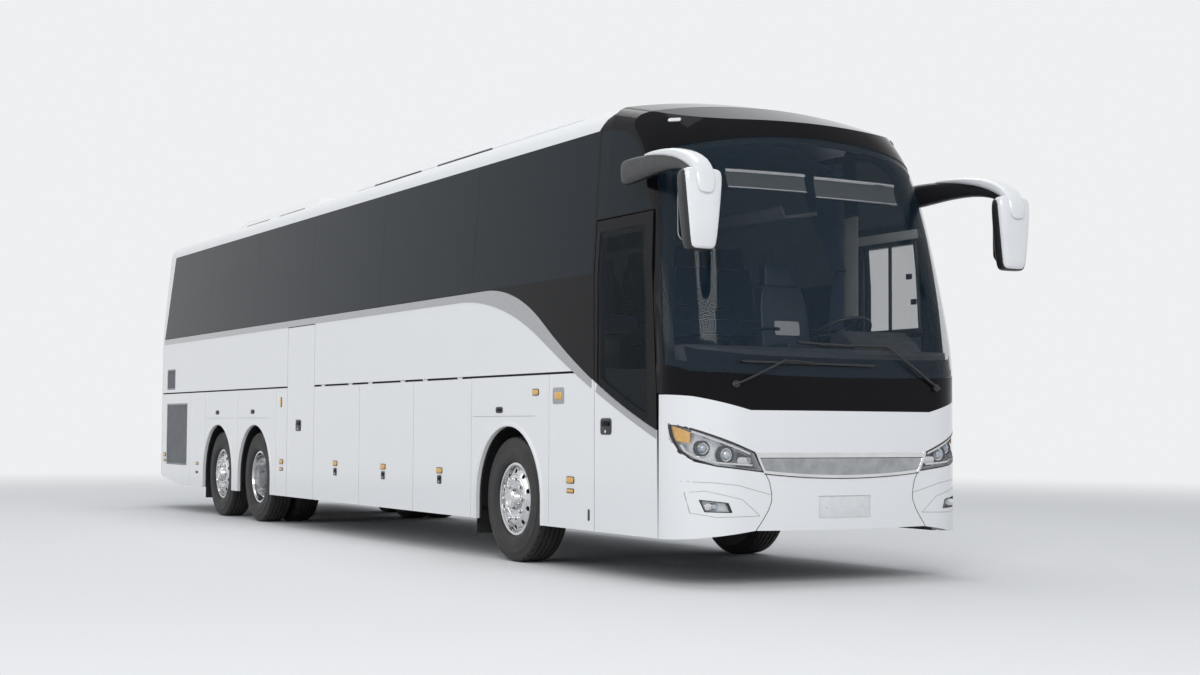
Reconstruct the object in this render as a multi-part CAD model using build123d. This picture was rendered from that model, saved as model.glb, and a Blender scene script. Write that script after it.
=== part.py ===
from build123d import *
import os
from math import asin, cos, pi, sin

# A three-axle coach bus, in millimetres.
# +X is forward, +Y is the bus's left, +Z is up, and the ground is Z = 0.

os.makedirs("parts", exist_ok=True)

# Body
FRONT_X = 6830
REAR_X = -7170
HALF_WIDTH = 1275
SKIRT_Z = 335
CREASE_Z = 1552
BELT_Z = 2290
SHOULDER_Y = 1200
SHOULDER_Z = 3420
ROOF_EDGE_Y = 1060
ROOF_EDGE_Z = 3585
ROOF_TOP_Z = 3690
ROOF_SLOPE_X = 5500
ROOF_SLOPE = 0.225
ROOF_BEND_X = 5900
ROOF_BEND_SLOPE = 0.36
WALL = 50
GLASS = 8
GLASS_FIT = 0.8
SEAM = 6
DOOR_GAP = 10
FLAP_GAP = 8
HINGE_GAP = 9
SIDE_OUT = HALF_WIDTH + 60
SIDE_IN = HALF_WIDTH - 200
SKIRT_TOP = CREASE_Z - HINGE_GAP
BAND_LOW = CREASE_Z + HINGE_GAP

# How far the cutting blocks reach beyond the body
REACH_Y = 1400
INNER_REACH_Y = 1300
AHEAD_X = 7200
BEHIND_X = -7400
ABOVE_Z = 4000

# Where the front's panels meet
FRONT_SKIRT_X = 4640
DOOR_SKIRT_X = 5390
BAND_END_X = 5335
BLACK_START_X = 3460
MASK_JOINT_Z = 2690

# Tail
TAIL_CORNER_X = -6860
TAIL_SAG = 60
TAIL_CORNER_Y = 1000
TAIL_SIDE_X = -6880
TAIL_LEAN = 0.19
TAIL_GLASS_LOW_X = -6798
TAIL_GLASS_HIGH_X = -6572
TAPER_START_X = -5880

# Running gear
FRONT_AXLE_X = 3900
DRIVE_AXLE_X = -2825
TAG_AXLE_X = -4267
AXLES = (FRONT_AXLE_X, DRIVE_AXLE_X, TAG_AXLE_X)
TYRE_RADIUS = 522
TYRE_WIDTH = 290
RIM_RADIUS = 286
TYRE_FIT = 0.5
WHEEL_OUTER_Y = 1232
TWIN_SPACING = 335
ARCH_RADIUS = 610
KINGPIN_Y = 985
AXLE_Z = TYRE_RADIUS
RUNNING_FIT = 0.3
STUD_COUNT = 10
STUD_CIRCLE = 335
NUT_RADIUS = 17
LEFT_WHEEL_TURN = 12
HAND_HOLE_RADIUS = 20
HAND_HOLE_CIRCLE = 232
KINGPIN_RADIUS = 24
KNUCKLE_HALF_X = 50
KNUCKLE_HALF_Z = 115
SPINDLE_RADIUS = 55
DRIVE_TUBE_RADIUS = 85

# Chassis
RAIL_IN_Y = 400
RAIL_OUT_Y = 460
RAIL_LOW_Z = 720
RAIL_HIGH_Z = 900
TOW_EYE_RADIUS = 22
JACK_PAD_Y = 620
POST_WIDTH = 60
TIE_INSET = 40
TAG_FLAP_X = -4925
FLAP_THICK = 8

# Floors
DECK_LOW_Z = 1500
DECK_HIGH_Z = 1600
CAB_FLOOR_LOW_Z = 1150
CAB_FLOOR_HIGH_Z = 1200
CAB_FLOOR_X = 4700
BAY_FLOOR_LOW_Z = 345
BAY_FLOOR_HIGH_Z = 375
BULKHEAD = 30
LID_CLEAR = 8
DECK_CORNER_X = -6810
CAB_REAR_X = 5110
BAY_REAR_X = -2085
BAY_FRONT_X = 3195
MID_WELL_REAR_X = -1640
MID_WELL_FRONT_X = -840
MID_STAIR_Y = -480
FRONT_STAIR_Y = -330

# Passenger seats
SEAT_ROWS = 13
SEAT_PITCH = 790
FIRST_SEAT_X = 4150
SEAT_BASE_Z = 1930

# Doors
DOOR_REAR_LOW_X = 5400
DOOR_REAR_HIGH_X = 5366
DOOR_FRONT_LOW_X = 6326
DOOR_FRONT_MID_X = 6290
DOOR_FRONT_HIGH_X = 6195
DOOR_MID_Z = 1390
DOOR_TOP_Z = 2700
MID_DOOR_REAR_X = -1670
MID_DOOR_FRONT_X = -815
MID_DOOR_TOP_Z = 2212
POST_RADIUS = 20
POST_Y = 1130
PIN_Y = 1150
PIN_RADIUS = 8
FRONT_POST_X = 6172
FRONT_PIN_X = 5530
MID_POST_X = -1616
MID_PIN_X = -1010
FRONT_ARM_LOWS = (700, 2642)
MID_ARM_LOWS = (700, 2100)
ARM_HIGH = 30
EYE_RADIUS = 16
LUG_HALF = 16
LUG_HIGH = 14
LUG_FIT = 0.5
STEP_Z = 415
DOOR_ZONE_REAR_X = 5200
DOOR_ZONE_FRONT_X = 6400

# Wipers
WIPER_PIVOT_Z = 1436

# Flaps: rear x, front x
FLAP_RANGES = ((-810, 520), (520, 1900), (1900, 3180))
FLAP_HINGE_Y = HALF_WIDTH - 6
HINGE_EYE_RADIUS = 6
HINGE_PIN_RADIUS = 3
HINGE_LENGTH = 70
HINGE_SIDE_FIT = 0.5
EAR_LENGTH = 15

# Engine lid
LID_TOP_Z = 1950
LID_HOLE_TOP_Z = 1968
LID_HINGE_X = REAR_X + 7
LID_HINGE_Y = 300
LID_HINGE_Z = 1959

# Steering wheel
WHEEL_HUB_X = 5960
WHEEL_HUB_Y = 640
WHEEL_HUB_Z = 1880
WHEEL_TILT = -28

# Fixed skirt panels: rear x, front x
RIGHT_SKIRTS = ((-6857, -5510), (-5510, -4830), (-4830, -3470), (-3470, -2055), (-2055, -1677),
                (3180, FRONT_SKIRT_X))
LEFT_SKIRTS = ((-6857, -5510), (-5510, -4830), (-4830, -3470), (-3470, -2055), (-2055, -810),
               (3180, FRONT_SKIRT_X))

# Window dividers along X, from the rear to the front
DIVIDERS = (-4750, -2910, -1020, 1000, 3160)
BAND_FRONT_X = 5330
DIVIDER_GAP = 8
GLASS_LOW_Z = 2300
GLASS_HIGH_Z = 3405
PILLAR = 46

# Nose plan sections: height, front x, corner y, sag, side x, side y
NOSE_SECTIONS = (
    (1500, 6830, 860, 31, 6330, 1275),
    (2000, 6762, 850, 34, 6285, 1275),
    (2450, 6682, 780, 35, 6215, 1264),
    (2850, 6592, 735, 38, 6115, 1238),
    (3150, 6512, 650, 40, 5990, 1218),
    (3400, 6425, 540, 54, 5790, 1200),
    (3750, 6110, 350, 60, 5410, 1165),
)
NOSE_ROOT_X = 4200
NOSE_SEAM_X = 6330

# The silver stripe's two edges: where the fall starts, where it turns, where it ends
STRIPE_HIGH = ((3450, 2290), (4520, 1965), (6330, 1095))
STRIPE_LOW = ((2900, 2220), (4500, 1825), (6330, 1030))
STRIPE_DEPTH = 4
STRIPE_REAR_X = -6790


def block(x0, x1, y0, y1, z0, z1):
    """A box between two corners."""
    return Pos((x0 + x1) / 2, (y0 + y1) / 2, (z0 + z1) / 2) * Box(x1 - x0, y1 - y0, z1 - z0)


def polygon(points):
    """A flat face inside a closed run of straight lines."""
    return make_face(Polyline(*points, close=True))


def along_y(face, y0, y1):
    """A prism of an XZ outline between two values of Y."""
    return extrude(Pos(0, y1, 0) * (Plane.XZ * face), amount=y1 - y0)


def along_x(face, x0, x1):
    """A prism of a YZ outline between two values of X."""
    return extrude(Pos(x0, 0, 0) * (Plane.YZ * face), amount=x1 - x0)


def along_z(face, z0, z1):
    """A prism of an XY outline between two values of Z."""
    return extrude(Pos(0, 0, z0) * face, amount=z1 - z0)


def rod_x(y, z, x0, x1, radius):
    """A round bar along X."""
    return Pos((x0 + x1) / 2, y, z) * Rot(0, 90, 0) * Cylinder(radius, x1 - x0)


def rod_y(x, z, y0, y1, radius):
    """A round bar along Y."""
    return Pos(x, (y0 + y1) / 2, z) * Rot(90, 0, 0) * Cylinder(radius, y1 - y0)


def rod_z(x, y, z0, z1, radius):
    """A round bar along Z."""
    return Pos(x, y, (z0 + z1) / 2) * Cylinder(radius, z1 - z0)


def mirrored(shape):
    """The same shape on the other side of the bus."""
    return mirror(shape, about=Plane.XZ)


def side_y(z, inset):
    """How far out the side wall's surface is at a height."""
    lean = max(0, z - BELT_Z) * (HALF_WIDTH - SHOULDER_Y) / (SHOULDER_Z - BELT_Z)
    return HALF_WIDTH - lean - inset


def solids_of(*shapes):
    """Every solid of some shapes, in one list."""
    found = []
    for shape in shapes:
        found.extend(shape.solids())
    return found


def save(name, *shapes):
    """Write one sub-part."""
    export_step(Compound(solids_of(*shapes)), "parts/" + name + ".step")


# Body forms

def cross_section(inset, low_z):
    """The body's cross-section, drawn in from its skin by an inset."""
    belt = (HALF_WIDTH - inset, BELT_Z)
    shoulder = (SHOULDER_Y - inset, SHOULDER_Z - 0.2 * inset)
    edge = (ROOF_EDGE_Y - 0.4 * inset, ROOF_EDGE_Z - 0.95 * inset)
    crown = (0, ROOF_TOP_Z - inset)
    rise = (shoulder[0] - belt[0], shoulder[1] - belt[1])
    edges = [
        Line((-belt[0], low_z), (belt[0], low_z)),
        Line((belt[0], low_z), belt),
        Line(belt, shoulder),
        TangentArc(shoulder, edge, tangent=rise),
        ThreePointArc(edge, crown, (-edge[0], edge[1])),
        TangentArc((-shoulder[0], shoulder[1]), (-edge[0], edge[1]), tangent=(-rise[0], rise[1])),
        Line((-shoulder[0], shoulder[1]), (-belt[0], belt[1])),
        Line((-belt[0], belt[1]), (-belt[0], low_z)),
    ]
    return make_face(edges)


def plan_outline(front_x, corner_y, sag, side_x, side_half, root_x, inset):
    """A plan of one end: a wide arc, two corner arcs and sides that open outwards."""
    way = 1 if front_x > root_x else -1
    corner = (front_x - way * (sag + inset), corner_y)
    side = (side_x, side_half - inset)
    radius = (corner_y ** 2 + sag ** 2) / (2 * sag)
    turn = asin(corner_y / radius)
    heading = (-way * sin(turn), cos(turn))
    root = side_half + 175 - inset
    edges = [
        Line((root_x, -root), (root_x, root)),
        Line((root_x, root), side),
        TangentArc(corner, side, tangent=heading),
        ThreePointArc(corner, (front_x - way * inset, 0), (corner[0], -corner[1])),
        TangentArc((corner[0], -corner[1]), (side[0], -side[1]), tangent=(heading[0], -heading[1])),
        Line((side[0], -side[1]), (root_x, -root)),
    ]
    return make_face(edges)


def nose_form(inset):
    """The front end's form in plan, from the skirt to above the roof."""
    sections = []
    for z, front_x, corner_y, sag, side_x, half in NOSE_SECTIONS:
        outline = plan_outline(front_x, corner_y, sag, side_x, half, NOSE_ROOT_X, inset)
        sections.append(Pos(0, 0, z) * outline)
    lower = plan_outline(*NOSE_SECTIONS[0][1:], NOSE_ROOT_X, inset)
    foot = along_z(lower, 100, NOSE_SECTIONS[0][0])
    return foot + loft(sections)


def nose_envelope(inset):
    """The front end of the body as one solid."""
    section = cross_section(inset, 100)
    straight = along_x(section, 5100, ROOF_SLOPE_X)
    run = ROOF_BEND_X - ROOF_SLOPE_X
    start = Pos(ROOF_SLOPE_X, 0, 0) * (Plane.YZ * section)
    sloped = extrude(start, amount=run * (1 + ROOF_SLOPE ** 2) ** 0.5, dir=(1, 0, -ROOF_SLOPE))
    bend = Pos(ROOF_BEND_X, 0, -run * ROOF_SLOPE) * (Plane.YZ * section)
    steep = extrude(bend, amount=1300, dir=(1, 0, -ROOF_BEND_SLOPE))
    low = block(ROOF_SLOPE_X, ROOF_SLOPE_X + 1600, inset - HALF_WIDTH, HALF_WIDTH - inset, 100, 1800)
    return (straight + sloped + steep + low) & nose_form(inset)


def tail_envelope(inset):
    """The rear end of the body as one solid."""
    plan = plan_outline(REAR_X, TAIL_CORNER_Y, TAIL_SAG, TAIL_SIDE_X, HALF_WIDTH, -4500, inset)
    lower = along_z(plan, 100, BELT_Z)
    upper = extrude(Pos(0, 0, BELT_Z) * plan, amount=1600, dir=(TAIL_LEAN, 0, 1))
    return along_x(cross_section(inset, 100), -7300, -6300) & (lower + upper)


nose_outer = nose_envelope(0)
nose_inner = nose_envelope(WALL)
nose_skin = nose_outer - nose_inner
nose_glass_skin = nose_outer - nose_envelope(GLASS)
nose_rebate_skin = nose_outer - nose_envelope(GLASS + GLASS_FIT)
tail_outer = tail_envelope(0)
tail_inner = tail_envelope(WALL)
tail_skin = tail_outer - tail_inner
tail_glass_skin = tail_outer - tail_envelope(GLASS)
tail_rebate_skin = tail_outer - tail_envelope(GLASS + GLASS_FIT)


# Regions of the side walls

def stripe_edge(edge, rear_x):
    """One edge of the stripe: a level line and two arcs that meet smoothly."""
    start, turn, end = edge
    level = Line((rear_x, start[1]), start)
    fall = TangentArc(start, turn, tangent=(1, 0))
    run_out = TangentArc(turn, end, tangent=fall % 1)
    return [level, fall, run_out]


def stripe_side(edge, rear_x, far_z):
    """The region of a side between one edge of the stripe and a level line."""
    edges = stripe_edge(edge, rear_x)
    end = edges[-1] @ 1
    edges.append(Line((end.X, end.Y), (end.X, far_z)))
    edges.append(Line((end.X, far_z), (rear_x, far_z)))
    edges.append(Line((rear_x, far_z), (rear_x, edge[0][1])))
    return along_y(make_face(edges), -SIDE_OUT, -SIDE_IN)


def door_prism(gap, low_z):
    """The front door's outline through the right wall, grown by a gap."""
    outline = polygon([
        (DOOR_REAR_LOW_X - gap, low_z),
        (DOOR_FRONT_LOW_X + gap, low_z),
        (DOOR_FRONT_MID_X + gap, DOOR_MID_Z),
        (DOOR_FRONT_HIGH_X + gap, DOOR_TOP_Z + gap),
        (DOOR_REAR_HIGH_X - gap, DOOR_TOP_Z + gap),
    ])
    return along_y(outline, -SIDE_OUT, -SIDE_IN)


def arch_cut(x, y0, y1):
    """The opening over one wheel."""
    return rod_y(x, AXLE_Z, y0, y1, ARCH_RADIUS) + block(x - ARCH_RADIUS, x + ARCH_RADIUS, y0, y1, 0,
                                                         AXLE_Z)


def side_slab(x0, x1, z0, z1):
    """A piece of the right side's flat wall."""
    return block(x0, x1, -HALF_WIDTH, WALL - HALF_WIDTH, z0, z1)


black_region = stripe_side(STRIPE_HIGH, BLACK_START_X, 2500)
front_door_hole = door_prism(DOOR_GAP, 100)
mid_door_hole = block(MID_DOOR_REAR_X - DOOR_GAP, MID_DOOR_FRONT_X + DOOR_GAP, -SIDE_OUT, -SIDE_IN,
                      100, MID_DOOR_TOP_Z + DOOR_GAP)
rear_taper = along_y(polygon([(TAPER_START_X, SKIRT_Z - 1), (-6780, 420), (-7150, 545), (-8000, 900),
                              (-8000, 0), (TAPER_START_X, 0)]), -REACH_Y, REACH_Y)


# Side panels

def skirt_panels(ranges):
    """The fixed panels below the crease, on the right side."""
    panels = []
    for rear, front in ranges:
        panel = side_slab(rear + SEAM / 2, front - SEAM / 2, SKIRT_Z, SKIRT_TOP)
        for x in AXLES:
            if rear < x + ARCH_RADIUS and front > x - ARCH_RADIUS:
                panel = panel - arch_cut(x, -SIDE_OUT, -SIDE_IN)
        panels.append(panel - black_region - rear_taper)
    return panels


def upper_panel(front_x):
    """The white band between the crease and the belt, on the right side."""
    return side_slab(TAIL_CORNER_X + SEAM, front_x, BAND_LOW, BELT_Z) - black_region


left_nose_zone = nose_skin & block(5200, NOSE_SEAM_X - SEAM / 2, 0, 1300, SKIRT_Z, BELT_Z)
left_black_region = mirrored(black_region)
crease_slot = block(-7000, 7000, 0, REACH_Y, SKIRT_TOP, BAND_LOW)
louvre_holes = block(-6630, -5640, -SIDE_OUT, SIDE_OUT, 594, 1411) + block(-6640, -6240, -SIDE_OUT,
                                                                           SIDE_OUT,
                                                                           1600, 1875)
right_front_skirt = side_slab(FRONT_SKIRT_X + SEAM / 2, DOOR_SKIRT_X, SKIRT_Z,
                              SKIRT_TOP) - black_region - front_door_hole
right_quarter = (side_slab(BLACK_START_X, DOOR_SKIRT_X, 1400, BELT_Z) & black_region) - front_door_hole
left_front = mirrored(side_slab(FRONT_SKIRT_X + SEAM / 2, 5200, SKIRT_Z, BELT_Z)) + left_nose_zone
left_quarter = (mirrored(side_slab(BLACK_START_X, FRONT_SKIRT_X + SEAM / 2, 1400, BELT_Z))
                + left_front) & left_black_region
left_front_white = left_front - left_black_region - crease_slot
right_band = upper_panel(BAND_END_X) - mid_door_hole - front_door_hole
left_band_front = left_front_white & block(4600, 6400, 0, REACH_Y, BAND_LOW, BELT_Z)
left_band = mirrored(upper_panel(FRONT_SKIRT_X + SEAM / 2)) + left_band_front
left_front_skirt = left_front_white & block(4600, 6400, 0, REACH_Y, SKIRT_Z, SKIRT_TOP)
right_side = [panel - louvre_holes for panel in skirt_panels(RIGHT_SKIRTS)]
left_side = [mirrored(panel) - louvre_holes for panel in skirt_panels(LEFT_SKIRTS)]

stripe_band = block(STRIPE_REAR_X, BAND_END_X, -HALF_WIDTH - STRIPE_DEPTH, -HALF_WIDTH, 1000, BELT_Z)
stripe_right = (stripe_band
                & stripe_side(STRIPE_LOW, STRIPE_REAR_X - 50, 3000)) - stripe_side(STRIPE_HIGH,
                                                                                   STRIPE_REAR_X - 50, 3000)
stripe_right = stripe_right - front_door_hole
stripe_left = (block(STRIPE_REAR_X, 6200, -HALF_WIDTH - STRIPE_DEPTH, -HALF_WIDTH, 1000, BELT_Z)
               & stripe_side(STRIPE_LOW, STRIPE_REAR_X - 50, 3000)) - stripe_side(STRIPE_HIGH,
                                                                                  STRIPE_REAR_X - 50, 3000)
save("side_stripes", stripe_right, mirrored(stripe_left))


# Windows

def band_slab(inset_out, inset_in, x0, x1):
    """A leaning slab of the right side's window band between two insets."""
    low = HALF_WIDTH
    high = SHOULDER_Y
    face = polygon([(-low + inset_out, BELT_Z), (-high + inset_out, SHOULDER_Z),
                    (-high + inset_in, SHOULDER_Z), (-low + inset_in, BELT_Z)])
    return along_x(face, x0, x1)


def pane_outline(rear_low, rear_high, front, grow):
    """One side window's outline, grown or drawn in all round."""
    return polygon([(rear_low - grow, GLASS_LOW_Z - grow), (front + grow, GLASS_LOW_Z - grow),
                    (front + grow, GLASS_HIGH_Z + grow), (rear_high - grow, GLASS_HIGH_Z + grow)])


pane_fronts = [x - DIVIDER_GAP / 2 for x in DIVIDERS] + [BAND_FRONT_X - DIVIDER_GAP / 2]
pane_rears = [TAIL_GLASS_LOW_X + DIVIDER_GAP] + [x + DIVIDER_GAP / 2 for x in DIVIDERS]
frame_slab = band_slab(0, WALL, -7000, BAND_FRONT_X) & block(-7000, BAND_FRONT_X, -REACH_Y, 0, BELT_Z,
                                                             GLASS_HIGH_Z + 7)
tail_edge = along_y(polygon([(-7500, BELT_Z - 1), (TAIL_GLASS_LOW_X, BELT_Z - 1),
                             (TAIL_GLASS_HIGH_X, SHOULDER_Z),
                             (-7500, SHOULDER_Z)]), -REACH_Y, REACH_Y)
window_frame = frame_slab - tail_edge
glass_slab = band_slab(0, GLASS, -7000, BAND_FRONT_X)
rebate_slab = band_slab(-20, GLASS + GLASS_FIT, -7000, BAND_FRONT_X)
panes = []
for index, (rear, front) in enumerate(zip(pane_rears, pane_fronts)):
    slant = TAIL_GLASS_HIGH_X - TAIL_GLASS_LOW_X if index == 0 else 0
    full = along_y(pane_outline(rear, rear + slant, front, 0), -SIDE_OUT, -SIDE_IN)
    sight = along_y(pane_outline(rear, rear + slant, front, -PILLAR), -SIDE_OUT, -SIDE_IN)
    panes.append(glass_slab & full)
    seat_cut = along_y(pane_outline(rear, rear + slant, front, 1), -SIDE_OUT, -SIDE_IN)
    window_frame = window_frame - (rebate_slab & seat_cut)
    window_frame = window_frame - sight
save("window_frames", window_frame - front_door_hole, mirrored(window_frame))

cab_pane = polygon([(5362, 2722), (6150, 2722), (5985, 3130), (5915, 3230), (5740, 3345), (5500, 3395),
                    (5362, 3398)])
cab_sight = polygon([(5410, 2770), (6075, 2770), (5935, 3100), (5880, 3180), (5720, 3290), (5490, 3345),
                     (5410, 3348)])
driver_pane = polygon([(5480, 1870), (6240, 1870), (6200, 2640), (5480, 2640)])
driver_sight = polygon([(5525, 1915), (6190, 1915), (6155, 2595), (5525, 2595)])
cab_pane_prism = along_y(cab_pane, -SIDE_OUT, SIDE_OUT)
cab_sight_prism = along_y(cab_sight, -SIDE_OUT, SIDE_OUT)
driver_pane_prism = along_y(driver_pane, 900, SIDE_OUT)
driver_sight_prism = along_y(driver_sight, 900, SIDE_OUT)
side_ways = block(5000, 6500, -REACH_Y, -900, 0, ABOVE_Z) + block(5000, 6500, 900, REACH_Y, 0, ABOVE_Z)
cab_glass = nose_glass_skin & cab_pane_prism & side_ways
driver_glass = nose_glass_skin & driver_pane_prism
right_panes = panes[:-1] + [panes[-1] - front_door_hole]
save("side_glass", *right_panes, *[mirrored(pane) for pane in panes], cab_glass - front_door_hole,
     driver_glass)

# Windscreen

screen_front = make_face([
    Line((-REACH_Y, 1640), (-REACH_Y, 3080)),
    Line((-REACH_Y, 3080), (-1130, 3165)),
    ThreePointArc((-1130, 3165), (0, 3290), (1130, 3165)),
    Line((1130, 3165), (REACH_Y, 3080)),
    Line((REACH_Y, 3080), (REACH_Y, 1640)),
    Line((REACH_Y, 1640), (1190, 1520)),
    ThreePointArc((1190, 1520), (0, 1492), (-1190, 1520)),
    Line((-1190, 1520), (-REACH_Y, 1640)),
])
screen_side = polygon([(6405, 1400), (6345, 2050), (6275, 2600), (6160, 3000), (6040, 3300), (7000, 3300),
                       (7000, 1400)])
sight_front = make_face([
    Line((-REACH_Y, 1690), (-REACH_Y, 3030)),
    Line((-REACH_Y, 3030), (-1110, 3115)),
    ThreePointArc((-1110, 3115), (0, 3240), (1110, 3115)),
    Line((1110, 3115), (REACH_Y, 3030)),
    Line((REACH_Y, 3030), (REACH_Y, 1690)),
    Line((REACH_Y, 1690), (1170, 1570)),
    ThreePointArc((1170, 1570), (0, 1542), (-1170, 1570)),
    Line((-1170, 1570), (-REACH_Y, 1690)),
])
sight_side = polygon([(6465, 1400), (6405, 2050), (6335, 2600), (6220, 3000), (6100, 3300), (7000, 3300),
                      (7000, 1400)])
screen_prism = along_x(screen_front, 5000, AHEAD_X) & along_y(screen_side, -REACH_Y, REACH_Y)
sight_prism = along_x(sight_front, 5000, AHEAD_X) & along_y(sight_side, -REACH_Y, REACH_Y)
windscreen = nose_glass_skin & screen_prism
save("windscreen", windscreen)

# Black cap, pillars and band of the front

cap_edge = polygon([(5310, GLASS_HIGH_Z + 7), (5405, 3490), (5500, 3530), (5500, 3900), (AHEAD_X, 3900),
                    (AHEAD_X, 2000),
                    (BAND_FRONT_X, 2000), (BAND_FRONT_X, GLASS_HIGH_Z + 7)])
mask_line = polygon([(-REACH_Y, 1375), (-1180, 1345), (-805, 1250), (805, 1250), (1180, 1345),
                     (REACH_Y, 1375),
                     (REACH_Y, ABOVE_Z), (-REACH_Y, ABOVE_Z)])
high_zone = along_y(cap_edge, -REACH_Y, REACH_Y) & block(5000, 7200, -REACH_Y, REACH_Y, BELT_Z, ABOVE_Z)
low_zone = along_x(mask_line, NOSE_SEAM_X, AHEAD_X) & block(NOSE_SEAM_X, 7200, -REACH_Y, REACH_Y, 1000,
                                                            BELT_Z)
black_front = nose_skin & (high_zone + low_zone)
front_corner_right = nose_skin & block(6190, NOSE_SEAM_X, -REACH_Y, 0, DOOR_MID_Z - 20, BELT_Z)
front_corner_left = nose_skin & block(NOSE_SEAM_X - SEAM / 2, NOSE_SEAM_X, 0, REACH_Y, DOOR_MID_Z - 20,
                                      BELT_Z)
black_front = black_front + front_corner_right + front_corner_left - front_door_hole
black_front = black_front - (nose_rebate_skin & screen_prism) - sight_prism
black_front = black_front - (nose_rebate_skin & cab_pane_prism & side_ways) - (cab_sight_prism & side_ways)
left_quarter = left_quarter - (nose_rebate_skin & driver_pane_prism) - driver_sight_prism
left_quarter = left_quarter - (nose_rebate_skin & screen_prism)
black_front = black_front - (nose_rebate_skin & driver_pane_prism) - driver_sight_prism
mask_low = block(5000, 7200, -REACH_Y, REACH_Y, 1000, MASK_JOINT_Z)
save("black_panels", black_front - mask_low, black_front & mask_low, right_quarter, left_quarter)

# Roof

roof_ring = along_x(cross_section(0, 100), -6700, ROOF_SLOPE_X) - along_x(cross_section(WALL, 0), -6800,
                                                                          5600)
roof = roof_ring & block(-6800, ROOF_SLOPE_X, -REACH_Y, REACH_Y, GLASS_HIGH_Z + 7, ABOVE_Z)
roof_front = along_y(cap_edge, -REACH_Y, REACH_Y)
roof_rear = block(-7000, TAIL_GLASS_HIGH_X, -REACH_Y, REACH_Y, 3000, ABOVE_Z)
roof = roof - roof_front - roof_rear
save("roof_shell", roof)


def roof_pod(x0, x1, half, high, nose_length):
    """An air-conditioning housing on the roof, with sloped ends."""
    side = polygon([(x0, 3600), (x0, 3690), (x0 + 250, high), (x1 - nose_length, high), (x1, 3640),
                    (x1, 3600)])
    front = polygon([(-half, 3600), (-half, high - 110), (-half + 110, high), (half - 110, high),
                     (half, high - 110),
                     (half, 3600)])
    return (along_y(side, -half, half)
            & along_x(front, x0, x1)) - nose_outer - along_x(cross_section(0, 100), -6800, ROOF_SLOPE_X)


pods = [roof_pod(-900, 4650, 780, 3815, 1100), roof_pod(-5300, -2050, 780, 3800, 300)]
save("roof_pods", *pods)

# Front panels, below the black band

white_nose = nose_skin & block(NOSE_SEAM_X, 7200, -REACH_Y, REACH_Y, SKIRT_Z, 2000)
white_nose = white_nose - along_x(mask_line, NOSE_SEAM_X - 10, AHEAD_X)
lamp_outline = [(690, 812), (1048, 855), (1168, 887), (1234, 948), (1256, 1023), (1330, 1165), (1240, 1140),
                (1100, 1081), (768, 950)]
grille_outline = [(-768, 950), (-690, 812), (0, 774), (690, 812), (768, 950)]
lamp_prism_left = along_x(polygon(lamp_outline), 6440, AHEAD_X)
lamp_prism_right = mirrored(lamp_prism_left)
grille_prism = along_x(polygon(grille_outline), 6500, AHEAD_X)
mask_region = along_x(polygon([(-REACH_Y, 1170), (-1330, 1165), (-1240, 1140), (-1100, 1081), (-768, 950),
                               (768, 950),
                               (1100, 1081), (1240, 1140), (1330, 1165), (REACH_Y, 1170), (REACH_Y, 1500),
                               (-REACH_Y, 1500)]),
                      6000, AHEAD_X)
bumper_outline = make_face([
    Line((-690, 812), (0, 774)),
    Line((0, 774), (690, 812)),
    ThreePointArc((690, 812), (632, 620), (762, 404)),
    ThreePointArc((762, 404), (0, 398), (-762, 404)),
    ThreePointArc((-762, 404), (-632, 620), (-690, 812)),
])
bumper_prism = along_x(bumper_outline, 6000, AHEAD_X)
below_bumper = along_x(polygon([(-REACH_Y, 100), (-REACH_Y, SKIRT_Z), (-1275, SKIRT_Z), (-762, 404),
                                (762, 404),
                                (1275, SKIRT_Z), (REACH_Y, SKIRT_Z), (REACH_Y, 100)]), 6000, AHEAD_X)
fog_outline = [(-1150, 620), (-975, 600), (-950, 532), (-1120, 536)]
fog_right = along_x(polygon(fog_outline), 6400, AHEAD_X)
plate_recess = block(FRONT_X - 12, FRONT_X + 50, -232, 232, 476, 642)
mask = white_nose & mask_region
corners = white_nose - mask_region - lamp_prism_left - lamp_prism_right
corners = corners - grille_prism - bumper_prism - below_bumper
corners = corners - fog_right - mirrored(fog_right)
bumper = (white_nose & bumper_prism) - plate_recess
save("front_panels", mask, corners, bumper)
lamps = white_nose & (lamp_prism_left + lamp_prism_right)
fogs = white_nose & (fog_right + mirrored(fog_right))
save("front_lamps", lamps - mask_region, fogs)
save("grille", (white_nose & grille_prism) - mask_region - bumper_prism)

# Tail

tail_zone = along_y(polygon([(-7300, 0), (TAIL_CORNER_X, 0), (TAIL_CORNER_X, BELT_Z),
                             (TAIL_GLASS_LOW_X, BELT_Z),
                             (TAIL_GLASS_HIGH_X, SHOULDER_Z), (TAIL_GLASS_HIGH_X, ABOVE_Z),
                             (-7300, ABOVE_Z)]), -REACH_Y, REACH_Y)
rear_glass_outline = polygon([(-1010, 2480), (-1030, 3120), (-960, 3240), (960, 3240), (1030, 3120),
                              (1010, 2480)])
rear_sight_outline = polygon([(-960, 2530), (-975, 3110), (-930, 3190), (930, 3190), (975, 3110),
                              (960, 2530)])
lid_outline = polygon([(-860, 760), (-860, 1950), (860, 1950), (860, 760)])
lid_hole_outline = polygon([(-868, 752), (-868, 1968), (868, 1968), (868, 752)])
rear_glass_prism = along_x(rear_glass_outline, BEHIND_X, -6600)
rear_lamp_prism = along_x(polygon([(1000, 880), (1000, 1500), (1180, 1500), (1180, 880)]), BEHIND_X, -6950)
rear_lamp_prism = rear_lamp_prism + mirrored(rear_lamp_prism)
rear_wall = (tail_skin & tail_zone) - rear_taper
rear_wall = rear_wall - (tail_rebate_skin & rear_glass_prism) - along_x(rear_sight_outline, BEHIND_X, -6600)
rear_wall = rear_wall - along_x(lid_hole_outline, BEHIND_X, -6600) - rear_lamp_prism
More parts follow.
